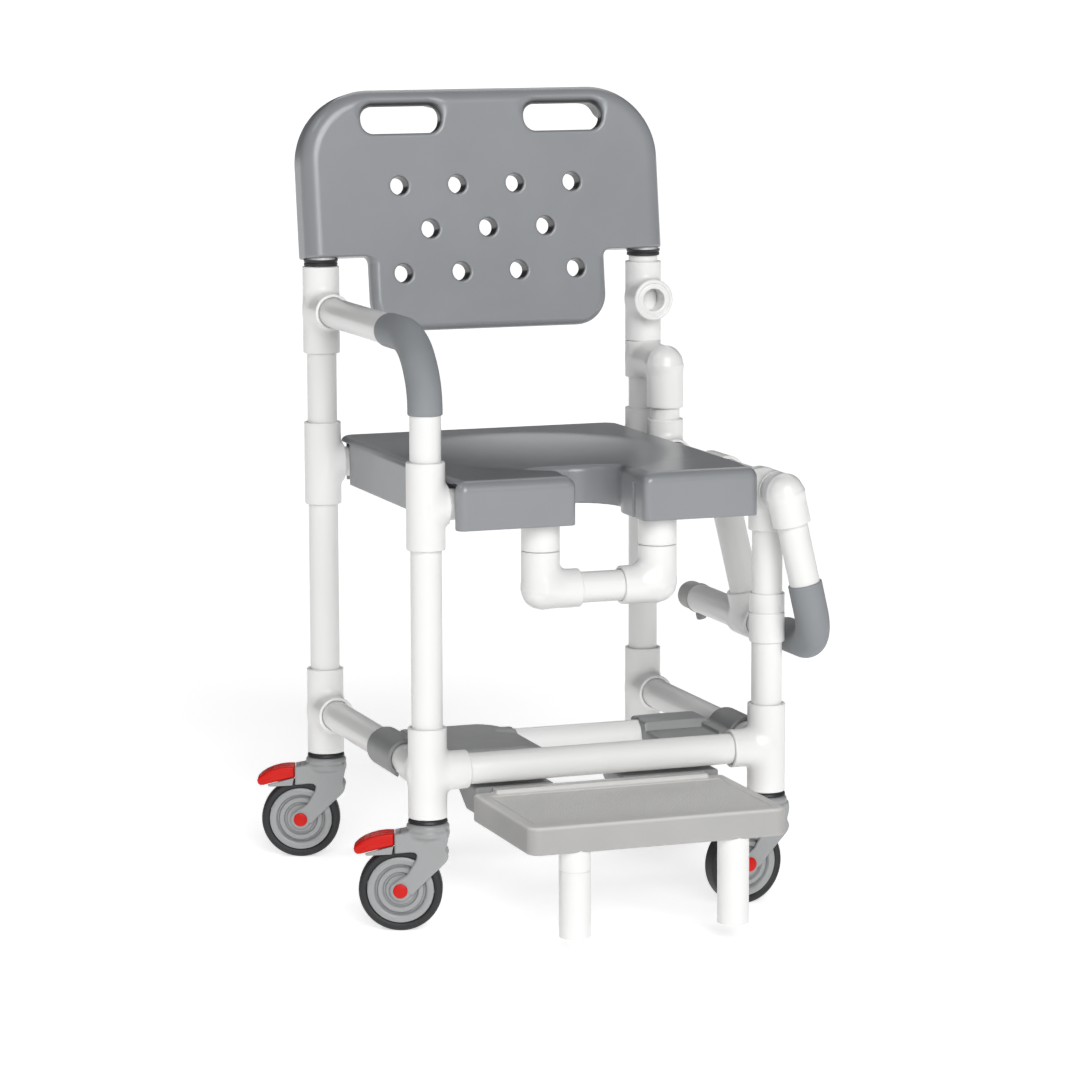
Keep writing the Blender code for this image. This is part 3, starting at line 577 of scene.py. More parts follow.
def post_fittings():
    branch = high_of("base_corner_front_right").x - middle("post_front_right").x
    seat_branch = high_of("seat_tee_rear_right").x - middle("post_rear_right").x
    for end, y_sign in ENDS.items():
        for side, x_sign in SIDES.items():
            branches = [((0, -y_sign, 0), BASE_Z, branch)]
            if end == "front":
                branches.append(((-x_sign, 0, 0), BASE_Z, branch))
            node = f"base_corner_{end}_{side}"
            post_tee(node, end, side, z_ends("base_corner_rear_left"), branches)
    for end, side in (("front", "right"), ("rear", "right"), ("rear", "left")):
        inward = ((-SIDES[side], 0, 0), RAIL_Z, seat_branch)
        post_tee(f"seat_tee_{end}_{side}", end, side, z_ends("seat_tee_rear_left"), [inward])
    reach = middle("post_rear_right").y - low_of("arm_tee_rear_right").y
    post_tee("arm_tee_rear_right", "rear", "right", ARM_TEE_Z, [((0, -1, 0), ARM_Z, reach)])


def front_loop():
    """The front seat pipe's two halves and the loop under the open front of the seat."""
    elbow_low, elbow_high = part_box("loop_lower_elbow_left")
    corner_x = elbow_high.x - CENTRE.x - FITTING_R
    length = elbow_high.x - elbow_low.x - FITTING_R - 0.0002
    for side, x_sign in SIDES.items():
        out = Vector((x_sign, 0, 0))
        corner, foot, lower_corner, lower_top = (
            at(corner_x * x_sign, -POST_Y, z)
            for z in (RAIL_Z, low_of(f"seat_rail_front_{side}").z, LOOP_Z, elbow_high.z)
        )
        stop = at((POST_X - PIPE_STOP) * x_sign, -POST_Y, RAIL_Z)
        arms = [(corner, corner + out * 0.05, FITTING_R), (corner, foot, FITTING_R)]
        pipes = [(corner, stop, PIPE_R)]
        fitting_piece(f"seat_rail_front_{side}", "frame", arms, [], corner, pipes)

        inward = lower_corner - out * length
        arms = [(lower_corner, inward, FITTING_R), (lower_corner, lower_top, FITTING_R)]
        bores = [(inward + out * 0.024, inward - out * PAST, SOCKET_R)]
        fitting_piece(f"loop_lower_elbow_{side}", "frame", arms, bores, lower_corner, blend=0.014)


def rear_left_loop():
    """Latch receiver, loop tee, side loop and the rear pivot bearing, on the rear left post."""
    bottom, top = (post("rear", "left", z) for z in z_ends("latch_receiver"))
    centre = post("rear", "left", ARM_Z)
    face = centre.copy()
    face.y = low_of("latch_receiver").y

    def receiver(p):
        d = rod(p, bottom, top, FITTING_R, LIP)
        d = join(d, rod(p, centre, face, 0.03, 0.003), 0.006)
        d = carve(d, rod(p, face - REARWARD * PAST, face + REARWARD * 0.0015, 0.024), 0.002)
        d = join(d, rod(p, centre, face + REARWARD * 0.0004, 0.0212, 0.0012), 0.0012)
        d = carve(d, rod(p, centre, face - REARWARD * PAST, 0.0162, 0.0003), 0.002)
        return carve(d, rod(p, bottom - UP * PAST, top + UP * PAST, SOCKET_R), 0.0005)

    mesh = sculpt("latch_receiver", receiver, *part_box("latch_receiver"), 0.0017)
    white("latch_receiver_ring", mesh, "frame", "latch_receiver")

    branch_z = high_of("side_loop").z - ELBOW_R
    reach = middle("post_rear_left").y - low_of("loop_tee").y
    post_tee("loop_tee", "rear", "left", z_ends("loop_tee"), [((0, -1, 0), branch_z, reach)])

    loop_y = middle("pivot_bearing_rear").y - CENTRE.y
    hub_y = POST_Y - 0.0345
    elbow_z = 0.644
    corner = at(POST_X, loop_y, branch_z)
    arms = [
        (corner, at(POST_X, hub_y, branch_z), FITTING_R),
        (corner, at(POST_X, loop_y, elbow_z), FITTING_R),
    ]
    pipes = [
        (corner, at(POST_X, POST_Y - PIPE_STOP, branch_z), PIPE_R),
        (corner, at(POST_X, loop_y, low_of("side_loop").z), PIPE_R),
    ]
    fitting_piece("side_loop", "frame", arms, [], corner, pipes)

    start, end = (at(POST_X, y, RAIL_Z) for y in y_ends("pivot_bearing_rear"))
    neck = at(POST_X, loop_y, high_of("pivot_bearing_rear").z)
    root = at(POST_X, loop_y, RAIL_Z)
    arms = [(start, end, FITTING_R), (root, neck, FITTING_R)]
    # The bearing's running bore stops short of its rear end.
    bores = [
        (start - REARWARD * PAST, end - REARWARD * 0.012, RUNNING_R),
        (root + UP * 0.03, neck + UP * PAST, SOCKET_R),
    ]
    fitting_piece("pivot_bearing_rear", "frame", arms, bores)


def front_bearing():
    """The front pivot bearing on top of the front left post, and the collar under it."""
    start, end = (at(POST_X, y, RAIL_Z) for y in y_ends("pivot_bearing_front"))
    root = post("front", "left", RAIL_Z)
    foot = post("front", "left", low_of("pivot_bearing_front").z)
    side = root.copy()
    side.x = low_of("pivot_bearing_front").x
    inward = Vector((-1, 0, 0))
    arms = [(start, end, FITTING_R), (root, foot, FITTING_R), (root, side, FITTING_R)]
    bores = [
        (start - REARWARD * PAST, end + REARWARD * PAST, RUNNING_R),
        (root - UP * (FITTING_R + 0.0055), foot - UP * PAST, SOCKET_R),
        (root + inward * 0.0221, side + inward * PAST, SOCKET_R),
    ]
    fitting_piece("pivot_bearing_front", "frame", arms, bores)

    low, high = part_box("arm_stop")
    height = high.z - low.z
    outer = (high.y - low.y) / 2
    profile = [(0.0, SOCKET_R), (0.0, outer - 0.001), (0.001, outer), (0.04, outer)]
    profile += [(0.0408, outer - 0.0007), (0.0412, outer - 0.0014), (0.0416, outer - 0.0007)]
    profile += [(0.0424, outer - 0.0002), (height - 0.001, outer - 0.0002)]
    profile += [(height, outer - 0.0012), (height, SOCKET_R)]
    mesh = turned("arm_stop", profile, post("front", "left", low.z), (0, 0, 1))
    white("arm_stop_collar", mesh, "frame", "arm_stop")


# ---- fixed arm
# The CAD grip has fourteen sides: half of its box's width is short of the radius.
GRIP_R = (high_of("fixed_arm_grip").x - low_of("fixed_arm_grip").x) / 2 / math.cos(math.pi / 14)


def grip(name, path, radius, body, node):
    """A foam sleeve with rounded ends, a little uneven along its length."""
    inner = PIPE_R + 0.0004
    mesh = sweep(name, path, (radius, rim(radius, inner, 0.0016), inner))
    rng = np.random.default_rng(len(name))
    phase = rng.uniform(0, 6.28, 3)
    for vertex in mesh.vertices:
        x, y, z = vertex.co
        swell = 0.00012 * math.sin(70 * x + phase[0]) * math.sin(90 * y + phase[1] + 60 * z)
        vertex.co = vertex.co + vertex.normal * swell
    piece = show(f"{name}_sleeve", mesh, FOAM, body, "grip_foam", node)


def fixed_arm():
    bend_r = 0.095
    bend_y = y_ends("fixed_arm_tube")[0] + PIPE_R + bend_r
    bend = arc((bend_y, ARM_Z - bend_r), bend_r, 90, 180, 28)
    turn = [at(-POST_X, y, z) for y, z in bend]

    def path(node):
        start = at(-POST_X, y_ends(node)[1], ARM_Z)
        return [start, *turn, at(-POST_X, bend[-1][0], low_of(node).z)]

    mesh = tube("fixed_arm_tube", path("fixed_arm_tube"))
    white("fixed_arm_pipe", mesh, "frame", "fixed_arm_tube")
    grip("fixed_arm_grip", path("fixed_arm_grip"), GRIP_R, "frame", "fixed_arm_grip")


# ---- drop arm
LEAN = math.radians(180.0 - JOINTS["drop_arm_hinge"]["range_deg"][1])
REACH = ARM_Z - RAIL_Z


def lean_point(distance, y):
    """A point on the lowered arm, a distance from the pivot's axis."""
    return at(POST_X + distance * math.sin(LEAN), y, RAIL_Z - distance * math.cos(LEAN))


def drop_arm():
    elbow_front, hub_y = y_ends("drop_arm_elbow")
    front_y = elbow_front + ELBOW_R
    corner = lean_point(0, front_y)
    hub = lean_point(0, hub_y)
    mouth = lean_point(0.044, front_y)
    down = (lean_point(1, 0) - lean_point(0, 0)).normalized()
    bores = [
        (hub - REARWARD * 0.016, hub + REARWARD * PAST, SOCKET_R),
        (lean_point(0.028, front_y), mouth + down * PAST, SOCKET_R),
    ]
    arms = [(corner, hub, FITTING_R), (corner, mouth, FITTING_R)]
    fitting_piece("drop_arm_elbow", "drop_arm", arms, bores, corner)

    bend_r = 0.052
    bend = arc((front_y + bend_r, REACH - bend_r), bend_r, 180, 90, 20)
    turn = [lean_point(distance, y) for y, distance in bend]

    def path(start, node):
        return [lean_point(start, front_y), *turn, lean_point(REACH, y_ends(node)[1])]

    mesh = tube("drop_arm_tube", path(0.03, "drop_arm_tube"))
    white("drop_arm_pipe", mesh, "drop_arm", "drop_arm_tube")
    grip("drop_arm_grip", path(0.128, "drop_arm_grip"), GRIP_R, "drop_arm", "drop_arm_grip")

    strut_front, strut_rear = y_ends("drop_arm_strut")
    strut_y = (strut_front + strut_rear) / 2
    branch = 0.046

    def strut(p):
        d = None
        for root, near, far in ((0, 0, branch), (REACH, REACH - branch, REACH)):
            start, end = (lean_point(root, y) for y in (strut_front, strut_rear))
            sleeve = rod(p, start, end, FITTING_R, LIP)
            start, end = (lean_point(distance, strut_y) for distance in (near, far))
            side = rod(p, start, end, FITTING_R, LIP)
            tee = join(sleeve, side, FILLET)
            d = tee if d is None else np.minimum(d, tee)
        d = join(d, rod(p, lean_point(0, strut_y), lean_point(REACH, strut_y), PIPE_R), 0.0004)
        for root in (0, REACH):
            start = lean_point(root, strut_front - PAST)
            d = carve(d, rod(p, start, lean_point(root, strut_rear + PAST), SOCKET_R), 0.0005)
        return d

    mesh = sculpt("drop_arm_strut", strut, *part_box("drop_arm_strut"), 0.0019)
    white("drop_arm_strut_tees", mesh, "drop_arm", "drop_arm_strut")

    # End cap: a rim, a bore and a slot for the bolt's thumb knob.
    cap_front, cap_rear = y_ends("drop_arm_end_cap")
    rotate = np.array(Matrix.Rotation(LEAN, 3, "Y"))
    origin = np.array(lean_point(REACH, 0))

    def end_rod(p, start_y, end_y, *radius_and_edge):
        return rod(p, lean_point(REACH, start_y), lean_point(REACH, end_y), *radius_and_edge)

    def cap(p):
        d = end_rod(p, cap_front, cap_rear, 0.0205, 0.007)
        d = join(d, end_rod(p, cap_front, cap_front + 0.0065, 0.022, 0.001))
        d = carve(d, end_rod(p, cap_front - PAST, cap_rear + PAST, 0.0088))
        q = (p - origin) @ rotate.T
        slot = block(q, (-0.0062, cap_front - PAST, -0.03), (0.0062, cap_rear + 0.02, 0.0), 0.001)
        return carve(d, slot, 0.001)

    mesh = sculpt("drop_arm_end_cap", cap, *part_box("drop_arm_end_cap"), 0.0013)
    show("drop_arm_end_plug", mesh, TREAD, "drop_arm", "light_grey", "drop_arm_end_cap")

    knob_y = 0.145

    def knob_rod(p, start, end, *radius_and_edge):
        near, far = (lean_point(REACH + distance, knob_y) for distance in (start, end))
        return rod(p, near, far, *radius_and_edge)

    def bolt(p):
        d = end_rod(p, 0.136, 0.1735, 0.008, 0.0018)
        d = join(d, knob_rod(p, 0, 0.026, 0.0052), 0.001)
        return join(d, knob_rod(p, 0.0225, 0.0335, 0.0075, 0.0025), 0.0015)

    mesh = sculpt("latch_bolt", bolt, *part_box("latch_bolt"), 0.0009)
    show("latch_bolt_pin", mesh, CASTOR, "latch_bolt", "castor_grey", "latch_bolt")


# ---- seat and back
def seat():
    low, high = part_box("seat")
    half_x = (high.x - low.x) / 2
    front, rear = y_ends("seat")
    bottom, top = z_ends("seat")
    neck = 0.048                      # half widths of the opening's channel and of its round end
    wide = 0.066
    end_y = -0.08
    dish = 0.0155
    pipe_room = 0.0285                # half the width of the channels over the seat pipes

    def field(p):
        x, y, z = centred(p)
        plan = plate(x, y, (-half_x, front), (half_x, rear), (0.012, 0.025))
        channel = plate(x, y, (-neck, front - 0.2), (neck, end_y - 0.06), (0.001, 0.001))
        pocket = plate(x, y, (-wide, end_y - 0.094), (wide, end_y), (0.046, 0.055))
        opening = join(channel, pocket, 0.035)
        walls = carve(plan, opening, 0.012)
        e = (x / 0.178) ** 2 + ((y + 0.012) / 0.208) ** 2
        hollow = join(-dish * (1 - e), np.zeros_like(e), 0.0022)
        lid = z - (top + hollow)
        edge = 0.0095 + 0.0055 * np.clip((-0.215 - y) / 0.03, 0, 1)
        d = meet(walls, lid, edge)
        d = meet(d, bottom - z, 0.0015)
        skirt = meet(walls + 0.0125, z - (bottom + 0.038), 0.003)
        d = carve(d, skirt, 0.002)
        for sign in ENDS.values():
            pipe = block(p, at(-0.3, POST_Y * sign - pipe_room, bottom - 0.02),
                         at(0.3, POST_Y * sign + pipe_room, RAIL_Z + 0.0275), 0.002)
            if sign < 0:
                pipe = np.maximum(pipe, 0.0565 - np.abs(x))
            d = carve(d, pipe, 0.001)
        # Groove in each lobe's inner wall.
        for sign in SIDES.values():
            start, end = (at((neck + 0.001) * sign, front + 0.04, bottom + rise)
                          for rise in (-0.02, 0.047))
            d = carve(d, rod(p, start, end, 0.0045, 0.002), 0.002)
        return d

    mesh = sculpt("seat", field, low, high, 0.0026)
    show("seat_shell", mesh, SHELL, "frame", "grey_shell", "seat")


def back():
    low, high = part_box("back_shell")
    half_x = (high.x - low.x) / 2
    near = upright(np.array([BACK_FACE]))[0][1] - CENTRE.y
    far = near + 0.053
    panel_far = near + 0.024
    bottom, top = 0.76, 1.105
    wing = 0.868
    tab = 0.178
    slot_z = 1.0605
    pitch = 0.0872
    rows = ((0.967, 4), (0.9045, 3), (0.842, 4))

    def hand_slot(x, z, sign):
        half_length, half_height = 0.06, 0.019
        return plate(x, z, (0.123 * sign - half_length, slot_z - half_height),
                     (0.123 * sign + half_length, slot_z + half_height), (0.0189, 0.0189))

    def from_holes(x, z):
        """For each row of holes, how far points are from the middle of the nearest one."""
        for row_z, count in rows:
            first = -pitch * (count - 1) / 2
            nearest = np.clip(np.round((x - first) / pitch), 0, count - 1)
            yield np.hypot(x - first - nearest * pitch, z - row_z)

    def field(p):
        p = upright(p)
        x, y, z = centred(p)
        # A deep shell with a broad rounding round its front, and the thin tab below it.
        # Both end in one flat front.
        outline = plate(x, z, (-half_x, wing - 0.2), (half_x, top), (0.01, 0.105))
        deep = meet(meet(outline, near - y, 0.0225), wing - z, 0.0035)
        deep = meet(deep, y - far, 0.005)
        lower = plate(x, z, (-tab, bottom), (tab, wing + 0.06), (0.045, 0.01))
        thin = meet(meet(lower, near - y, 0.0125), y - panel_far, 0.004)
        d = np.maximum(join(deep, thin, 0.012), near - y)
        inner = POST_X - 0.029
        pocket = plate(x, z, (-inner, wing + 0.01), (inner, top - 0.026), (0.006, 0.07))
        d = carve(d, np.maximum(pocket, panel_far - y), 0.004)
        # The hand slots' upper lip is rounder than the lower one.
        soft = 0.006 + 0.012 * np.clip((z - slot_z) / 0.02, 0, 1)
        for sign in SIDES.values():
            d = carve(d, hand_slot(x, z, sign), soft)
            start, end = (at(POST_X * sign, POST_Y, wing + rise) for rise in (-0.03, 0.13))
            d = carve(d, rod(p, start, end, SOCKET_R), 0.0006)
        taper = 0.085 * np.clip(y - near, 0, 0.024)
        for out in from_holes(x, z):
            d = carve(d, out - 0.0134 + taper, 0.0034)
        return d

    def painted_hole_shade(p):
        """Painted shade: how far inside a hole or a hand slot a point is, so that the walls there
        are painted dark.
        """
        x, y, z = centred(upright(p))
        behind = y - near
        share = np.zeros_like(x)
        for out in from_holes(x, z):
            share = np.maximum(share, np.where(out < 0.0152, (behind - 0.001) / 0.0016, 0))
        for sign in SIDES.values():
            inside = (0.01 - hand_slot(x, z, sign)) / 0.0045
            share = np.maximum(share, np.minimum((behind - 0.0012) / 0.0028, inside))
        return share

    mesh = sculpt("back_shell", field, low, high, 0.0024)
    # Painted shade for the hole and slot walls, stored at the points.
    mark(mesh, "painted_hole_shade", painted_hole_shade)
    show("back_panel", mesh, PAINTED_SHADE_BACK_SHELL, "frame", "grey_shell", "back_shell")

    # Dark collars round the posts, under the shell.
    tee_top = ARM_TEE_Z[1]
    height = wing - tee_top - 0.0004
    profile = [
        (0.001, SOCKET_R), (0.001, 0.0232), (0.0018, 0.024), (0.0046, 0.024),
        (0.0052, 0.023), (0.006, 0.023), (0.0066, 0.024), (height, 0.0248),
        (height, SOCKET_R),
    ]
    for side in SIDES:
        mesh = turned(f"back_collar_{side}", profile, post("rear", side, tee_top), (0, 0, 1))
        show(f"back_collar_{side}", mesh, DARK, "frame", "castor_grey")


# ---- footrest
def footrest():
    low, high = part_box("footrest_platform")
    half_x = (high.x - low.x) / 2
    front, rear = y_ends("footrest_platform")
    bottom = low.z
    tread_z = frame_mount("footrest_top")[0].z
    feet = [middle(f"footrest_foot_{side}") for side in SIDES]
    socket_top = high_of("footrest_foot_left").z + 0.0003

    def field(p):
        x, y, z = centred(p)
        plan = plate(x, y, (-half_x, front), (half_x, rear), (0.017, 0.008))
        d = meet(meet(plan, z - tread_z, 0.0045), bottom - z, 0.0035)
        inset = plate(x, y, (-half_x + 0.016, front + 0.016), (half_x - 0.016, rear - 0.026),
                      (0.01, 0.004))
        # A fine leather grain on the tread.
        ridges = 0.00022 * np.sin(x * 1100 + 3 * np.sin(y * 260))
        ridges = ridges * np.sin(y * 1250 + 2 * np.sin(x * 310))
        recess = meet(inset, tread_z - 0.0011 + ridges - z, 0.0006)
        d = carve(d, recess, 0.0012)
        rail = plate(x, y, (-half_x + 0.028, rear - 0.02), (half_x - 0.028, rear), (0.003, 0.003))
        d = join(d, meet(rail, span(z, bottom, high.z), 0.002), 0.003)
        for foot in feet:
            start, end = ((foot.x, foot.y, height) for height in (bottom - PAST, socket_top))
            d = carve(d, rod(p, start, end, SOCKET_R), 0.001)
        return d

    mesh = sculpt("footrest_platform", field, low, high, 0.0022)
    # Painted light: points on the top faces are marked for the lighter colour.
    mark(mesh, "lid", lambda p: (p[:, 2] - tread_z + 0.0042) / 0.0026)
    show("footrest_tread", mesh, TREAD, "footrest", "light_grey", "footrest_platform")

    for side, x_sign in SIDES.items():
        bracket(side, x_sign)


def bracket(side, x_sign):
    """Saddle over a base pipe, a flat arm with a seat for the cross bar, and the tongue that ducks
    under the front pipe."""
    node = f"footrest_bracket_{side}"
    pipe_x = middle(f"base_pipe_{side}").x
    joint, rear = y_ends(node)
    # What differs between the sides: the saddle's ends, the tongue's inner end, the rounding of
    # the arm's inner corner, and a step down in front of the cross bar.
    saddle_front, saddle_rear, tongue_inner, corner, step = {
        "right": (-0.145, -0.05, 0.182, 0.046, 0.0),
        "left": (-0.165, -0.085, 0.211, 0.006, 0.012),
    }[side]
    front = -0.195
    bar_low, bar_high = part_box("footrest_cross_bar")
    bar_mid = (bar_low + bar_high) / 2
    bar_y = bar_mid.y - CENTRE.y
    bar_end = (pipe_x - (bar_low.x if x_sign < 0 else bar_high.x)) * x_sign
    inner = bar_end + 0.01
    top = bar_high.z + 0.002
    profile = [
        (-0.12, 0.208), (front, 0.208), (front, 0.188), (joint, 0.188),
        (joint, 0.15), (-0.19, 0.15), (-0.12, 0.195),
    ]

    def field(p):
        x = (p[:, 0] - pipe_x) * -x_sign
        y = p[:, 1] - CENTRE.y
        z = p[:, 2]
        out = np.hypot(p[:, 0] - pipe_x, z - BASE_Z)
        ring = np.abs(out - 0.02465) - 0.00285
        ring = meet(ring, span(y, saddle_front, saddle_rear), 0.0012)
        # The arm's corner is broad and low on the side whose end hides the bar.
        plan = meet(span(x, 0.0285, inner), span(y, front, rear), 0.006)
        plan = np.maximum(plan, meet(x - inner, y - rear, corner))
        fall = corner * 0.09 * np.clip((x - inner + 0.05) / 0.05, 0, 1) ** 2
        fall = fall + step * np.clip((bar_y - 0.028 - y) / 0.004, 0, 1)
        arm = meet(meet(plan, z - (top - fall), 0.005), 0.2065 - z, 0.002)
        tongue = meet(polygon(y, z, profile), span(x, 0.069, tongue_inner), 0.004)
        neck_y = span(y, saddle_front + 0.004, saddle_rear - 0.004)
        neck = np.maximum(np.maximum(span(x, 0.023, 0.04), neck_y), span(z, 0.209, 0.226))
        along = span(x, inner - 0.028, inner)
        boss = meet(np.hypot(y - bar_y, z - bar_mid.z) - 0.0252, along, 0.0025)
        boss = np.maximum(boss, z - top)
        d = join(join(arm, tongue, 0.006), neck, 0.004)
        d = join(d, boss, 0.003)
        d = join(ring, d, 0.005)
        d = np.maximum(d, -(out - PIPE_R - 0.0007))
        seat_hole = np.maximum(np.hypot(y - bar_y, z - bar_mid.z) - SOCKET_R, bar_end - 0.0003 - x)
        d = carve(d, seat_hole, 0.0006)
        gap = np.maximum(span(x, -0.011, 0.011), z - BASE_Z)
        return carve(d, gap, 0.001)

    mesh = sculpt(node, field, *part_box(node), 0.0022)
    show(f"{node}_shell", mesh, BRACKET, "footrest", "bracket_grey", node)


# ---- castors
def fork_field(trail, hub_z):
    outline = mm(
        (-45, 134.5), (-33, 136.5), (-26, 138.5), (26.5, 138.5), (28.2, 130), (27.2, 122),
        (25.2, 116), (25, 112), (27.2, 108.5), (28.4, 104), (27, 98.5), (23.5, 93.5), (9.4, 80),
        (-12, 59), (-19.5, 51),
    )
    outline += arc((-trail, hub_z), 0.015, -25, -215, 14)
    outline += mm(
        (-28.5, 79), (-21.5, 90), (-16, 100), (-15, 105), (-17.5, 108), (-23, 108.8), (-45, 107),
    )

    def field(p):
        x, y, z = p.T
        side = polygon(x, z, outline)
        # The hood is widest at its rim, and the legs lean in towards the hub.
        half = 0.0195 - 0.0012 * np.clip((0.118 - z) / 0.05, 0, 1)
        d = meet(side + 0.0004, np.abs(y) - half, 0.0032)
        collar = rod(p, (0, 0, 0.128), (0, 0, 0.1475), 0.029, 0.0055)
        crease = np.hypot(np.hypot(x, y) - 0.0292, z - 0.1385) - 0.0012
        collar = carve(collar, crease, 0.002)
        d = join(d, collar, 0.005)
        d = join(d, rod(p, (0, 0, 0.14), (0, 0, 0.153), 0.0215), 0.001)
        d = join(d, rod(p, (0, 0, 0.15), (0, 0, 0.19), 0.016), 0.001)
        slot = block(p, (-0.2, -0.014, 0.0), (0.06, 0.014, 0.1165), 0.004)
        d = carve(d, slot, 0.0012)
        notch = block(p, (-0.2, -0.014, 0.09), (-0.037, 0.014, 0.15), 0.001)
        d = carve(d, notch, 0.001)
        return join(d, rod(p, (-trail, -0.017, hub_z), (-trail, 0.017, hub_z), 0.004), 0.0006)

    return field


def pedal_field(p):
    x, y, z = p.T
    outline = mm(
        (-45.3, 118), (-45.3, 134.5), (-56, 134.5), (-66, 133.2), (-76, 130.5), (-85, 126.8),
        (-93, 122), (-98.5, 117), (-99.8, 113), (-98.5, 108.5), (-95, 106.2), (-90, 106.8),
        (-82, 109.2), (-60, 114.5),
    )
    half = 0.0172 - 0.0045 * np.clip((-0.08 - x) / 0.022, 0, 1) ** 2
    d = meet(polygon(x, z, outline), np.abs(y) - half, 0.0034)
    crown = 0.1352 - 9.625 * np.clip(-0.05 - x, 0, 1) ** 2
    for offset in (-0.0058, 0.0058):
        groove = np.hypot(y - offset, (z - crown) * 0.8) - 0.0012
        groove = np.maximum(groove, np.maximum(x + 0.052, -0.094 - x))
        d = carve(d, groove, 0.0012)
    side = np.abs(np.abs(y) - 0.0172)
    line = 0.1245 - 0.22 * (-0.05 - x)
    dent = np.hypot(side, (z - line) * 0.9) - 0.0007
    d = carve(d, np.maximum(dent, np.maximum(x + 0.051, -0.09 - x)), 0.0012)
    tongue = block(p, (-0.05, -0.0125, 0.1182), (-0.0392, 0.0125, 0.1288), 0.001)
    return join(d, tongue, 0.0006)


def lever_field(p):
    """Two cheeks that carry the pad beside the wheel."""
    x, y, z = p.T
    outline = mm(
        (-45.7, 118), (-64, 113.2), (-83.8, 108.2), (-83.5, 105.6), (-78, 105.2), (-48.4, 106.8),
    )
    return meet(polygon(x, z, outline), span(np.abs(y), 0.0142, 0.0188), 0.0009)


def castor_offset(name):
    """From the swivel to the wheel's middle, and the wheel's height."""
    swivel, hub = (Vector(JOINTS[f"{joint}_{name}"]["pos_m"])
                   for joint in ("castor_swivel", "wheel_spin"))
    return (hub - swivel).to_2d(), hub.z


def castors():
    """One castor's meshes, made in its own frame and placed four times."""
    offset, hub_z = castor_offset("front_right")
    trail = offset.length
    wheel_r = hub_z
    half = 0.0125                     # half the tyre's width

    fork = surface(fork_field(trail, hub_z), (-0.06, -0.03, 0.038), (0.03, 0.03, 0.192), 0.0014)
    pedal = surface(pedal_field, (-0.102, -0.018, 0.105), (-0.038, 0.018, 0.136), 0.001)
    lever = surface(lever_field, (-0.085, -0.02, 0.104), (-0.045, 0.02, 0.12), 0.0009)

    # Half of the wheel's face, as (height, radius), with its ring grooves.
    face = mm(
        (11.8, 4.6), (11.8, 9.8), (10.6, 10.4), (10.6, 19.2), (9.8, 20), (7, 20.8), (7, 22.6),
        (10, 23.8), (11.2, 24.6), (11.2, 30), (10, 31.2), (6.4, 31.8), (6.4, 33.6), (10, 34.6),
        (11.8, 35.6), (12.4, 36.4), (12.4, 43.6), (11.6, 44.7), (10, 45),
    )
    rim_profile = [(-y, r) for y, r in face] + [(y, r) for y, r in reversed(face)]
    side = [(half - 0.0022, 0.0453), (half - 0.0008, 0.0462), (half, 0.048), (half, 0.0505)]
    shoulder = arc((wheel_r - 0.0052, half - 0.0052), 0.0052, 90, 0, 8)
    side += [(y, r) for r, y in shoulder]
    tread = side + [(-y, r) for y, r in reversed(side)]
    cap = mm((0, 0.4), (0, 9.8), (0.9, 9.8), (1.7, 9.2), (2.1, 8), (2.3, 0.4))
    gasket = mm(
        (147.8, 21.7), (147.8, 26.2), (149, 26.8), (151.5, 26.2), (153, 25), (153.6, 24),
        (153.6, 21.7),
    )

    for end in ENDS:
        for side_name in SIDES:
            name = f"{end}_{side_name}"
            offset = castor_offset(name)[0]
            angle = math.atan2(-offset.y, -offset.x)
            local = Matrix.Translation(post(end, side_name)) @ Matrix.Rotation(angle, 4, "Z")

            castor, roller, brake = f"castor_{name}", f"roller_{name}", f"brake_{name}"
            for label, data, material, body, slot, nodes in (
                ("fork", fork, CASTOR, castor, "castor_grey", [f"castor_fork_{name}"]),
                ("pedal_pad", pedal, RED, brake, "pedal_red", [f"pedal_{name}"]),
                ("pedal_lever", lever, CASTOR, brake, "castor_grey", []),
            ):
                mesh = moved_surface(f"{label}_{name}", data, local)
                show(f"{label}_{name}", mesh, material, body, slot, *nodes)

            def add(label, profile, start, way, count, *placing):
                mesh = turned(f"{label}_{name}", profile, start, way, count)
                mesh.transform(local)
                show(f"{label}_{name}", mesh, *placing)

            hub = (-trail, 0, hub_z)
            across = (0, 1, 0)
            add("wheel_disc", rim_profile, hub, across, 96,
                CASTOR, roller, "castor_grey", f"wheel_{name}")
            add("tyre_ring", tread, hub, across, 128, TYRE, roller, "tyre_grey", f"tyre_{name}")
            for face_name, sign in (("outer", 1), ("inner", -1)):
                start = (-trail, 0.0188 * sign, hub_z)
                add(f"axle_cap_{face_name}", cap, start, (0, sign, 0), 48, RED, castor, "pedal_red")
            add("castor_gasket", gasket, (0, 0, 0), UP, 64, DARK, castor, "castor_grey")


def moved_surface(name, data, matrix):
    vertices, quads, normals = data
    turn = np.array(matrix.to_3x3())
    shift = np.array(matrix.translation)
    return make_mesh(name, vertices @ turn.T + shift, quads.tolist(), normals @ turn.T)


# ---- studio
def outwards(azimuth, height):
    """The direction at an azimuth from the sitter's front and a height over the floor."""
    return Vector((
        math.sin(azimuth) * math.cos(height),
        -math.cos(azimuth) * math.cos(height),
        math.sin(height),
    ))


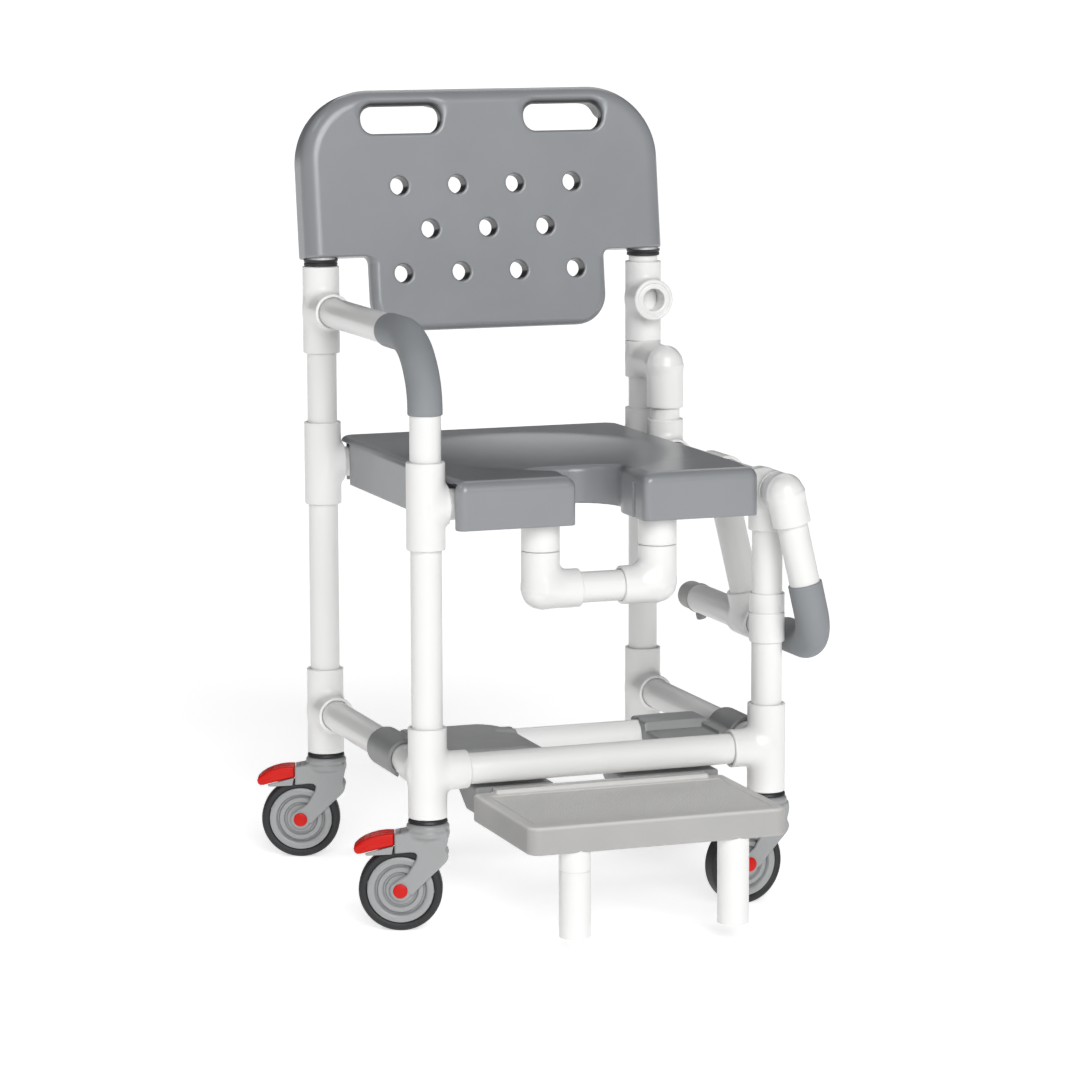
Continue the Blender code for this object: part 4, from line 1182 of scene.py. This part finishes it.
def studio():
    mesh = bpy.data.meshes.new("floor")
    size = 120.0
    corners = [(-size, -size, 0), (size, -size, 0), (size, size, 0), (-size, size, 0)]
    mesh.from_pydata(corners, [], [(0, 1, 2, 3)])
    floor = bpy.data.objects.new("floor", mesh)
    bpy.context.scene.collection.objects.link(floor)
    material = bpy.data.materials.new("floor_paper")
    material.use_nodes = True
    shader = material.node_tree.nodes["Principled BSDF"]
    set_inputs(shader, Base_Color=(0.95, 0.95, 0.95, 1), Roughness=0.9, Specular_IOR_Level=0.1,
               Emission_Color=(1, 1, 1, 1), Emission_Strength=0.57)
    mesh.materials.append(material)

    # A sky that is brighter above the chair than round it.
    world = bpy.data.worlds.new("studio")
    world.use_nodes = True
    nodes = world.node_tree.nodes
    links = world.node_tree.links
    place = nodes.new("ShaderNodeTexCoord")
    parts = nodes.new("ShaderNodeSeparateXYZ")
    ramp = nodes.new("ShaderNodeMapRange")
    set_inputs(ramp, To_Min=0.35, To_Max=0.55)
    links.new(place.outputs["Generated"], parts.inputs["Vector"])
    links.new(parts.outputs["Z"], ramp.inputs["Value"])
    links.new(ramp.outputs["Result"], nodes["Background"].inputs["Strength"])
    bpy.context.scene.world = world

    # Soft suns, as azimuth from the sitter's front, height, spread, and strength.
    for name, azimuth, height, spread, strength in (
        ("key", -7, 28, 40, 2.45),
        ("side", -95, 50, 20, 0.3),
        ("rear", 160, 40, 40, 0.5),
    ):
        data = bpy.data.lights.new(name, "SUN")
        data.angle = math.radians(spread)
        data.energy = strength
        lamp = bpy.data.objects.new(name, data)
        towards = outwards(math.radians(azimuth), math.radians(height))
        lamp.rotation_euler = towards.to_track_quat("Z", "Y").to_euler()
        bpy.context.scene.collection.objects.link(lamp)


def camera():
    azimuth = -0.3465
    elevation = 0.1515
    roll = -0.0028
    distance = 5.733
    focal_share = 4085 / 1080         # focal length over the image's width
    target = at(-0.0002, 0, 0.4832)
    back = outwards(azimuth, elevation)
    right = Vector((math.cos(azimuth), math.sin(azimuth), 0))
    up = back.cross(right)
    data = bpy.data.cameras.new("camera")
    data.sensor_width = 36.0
    data.lens = data.sensor_width * focal_share
    eye = bpy.data.objects.new("camera", data)
    turn = Matrix((right, up, back)).transposed() @ Matrix.Rotation(roll, 3, "Z")
    eye.matrix_world = Matrix.Translation(target + back * distance) @ turn.to_4x4()
    bpy.context.scene.collection.objects.link(eye)
    bpy.context.scene.camera = eye


bpy.context.scene.view_settings.view_transform = "Standard"
camera()
studio()
straight_pipes()
rear_posts()
post_fittings()
front_loop()
rear_left_loop()
front_bearing()
fixed_arm()
drop_arm()
seat()
back()
footrest()
castors()
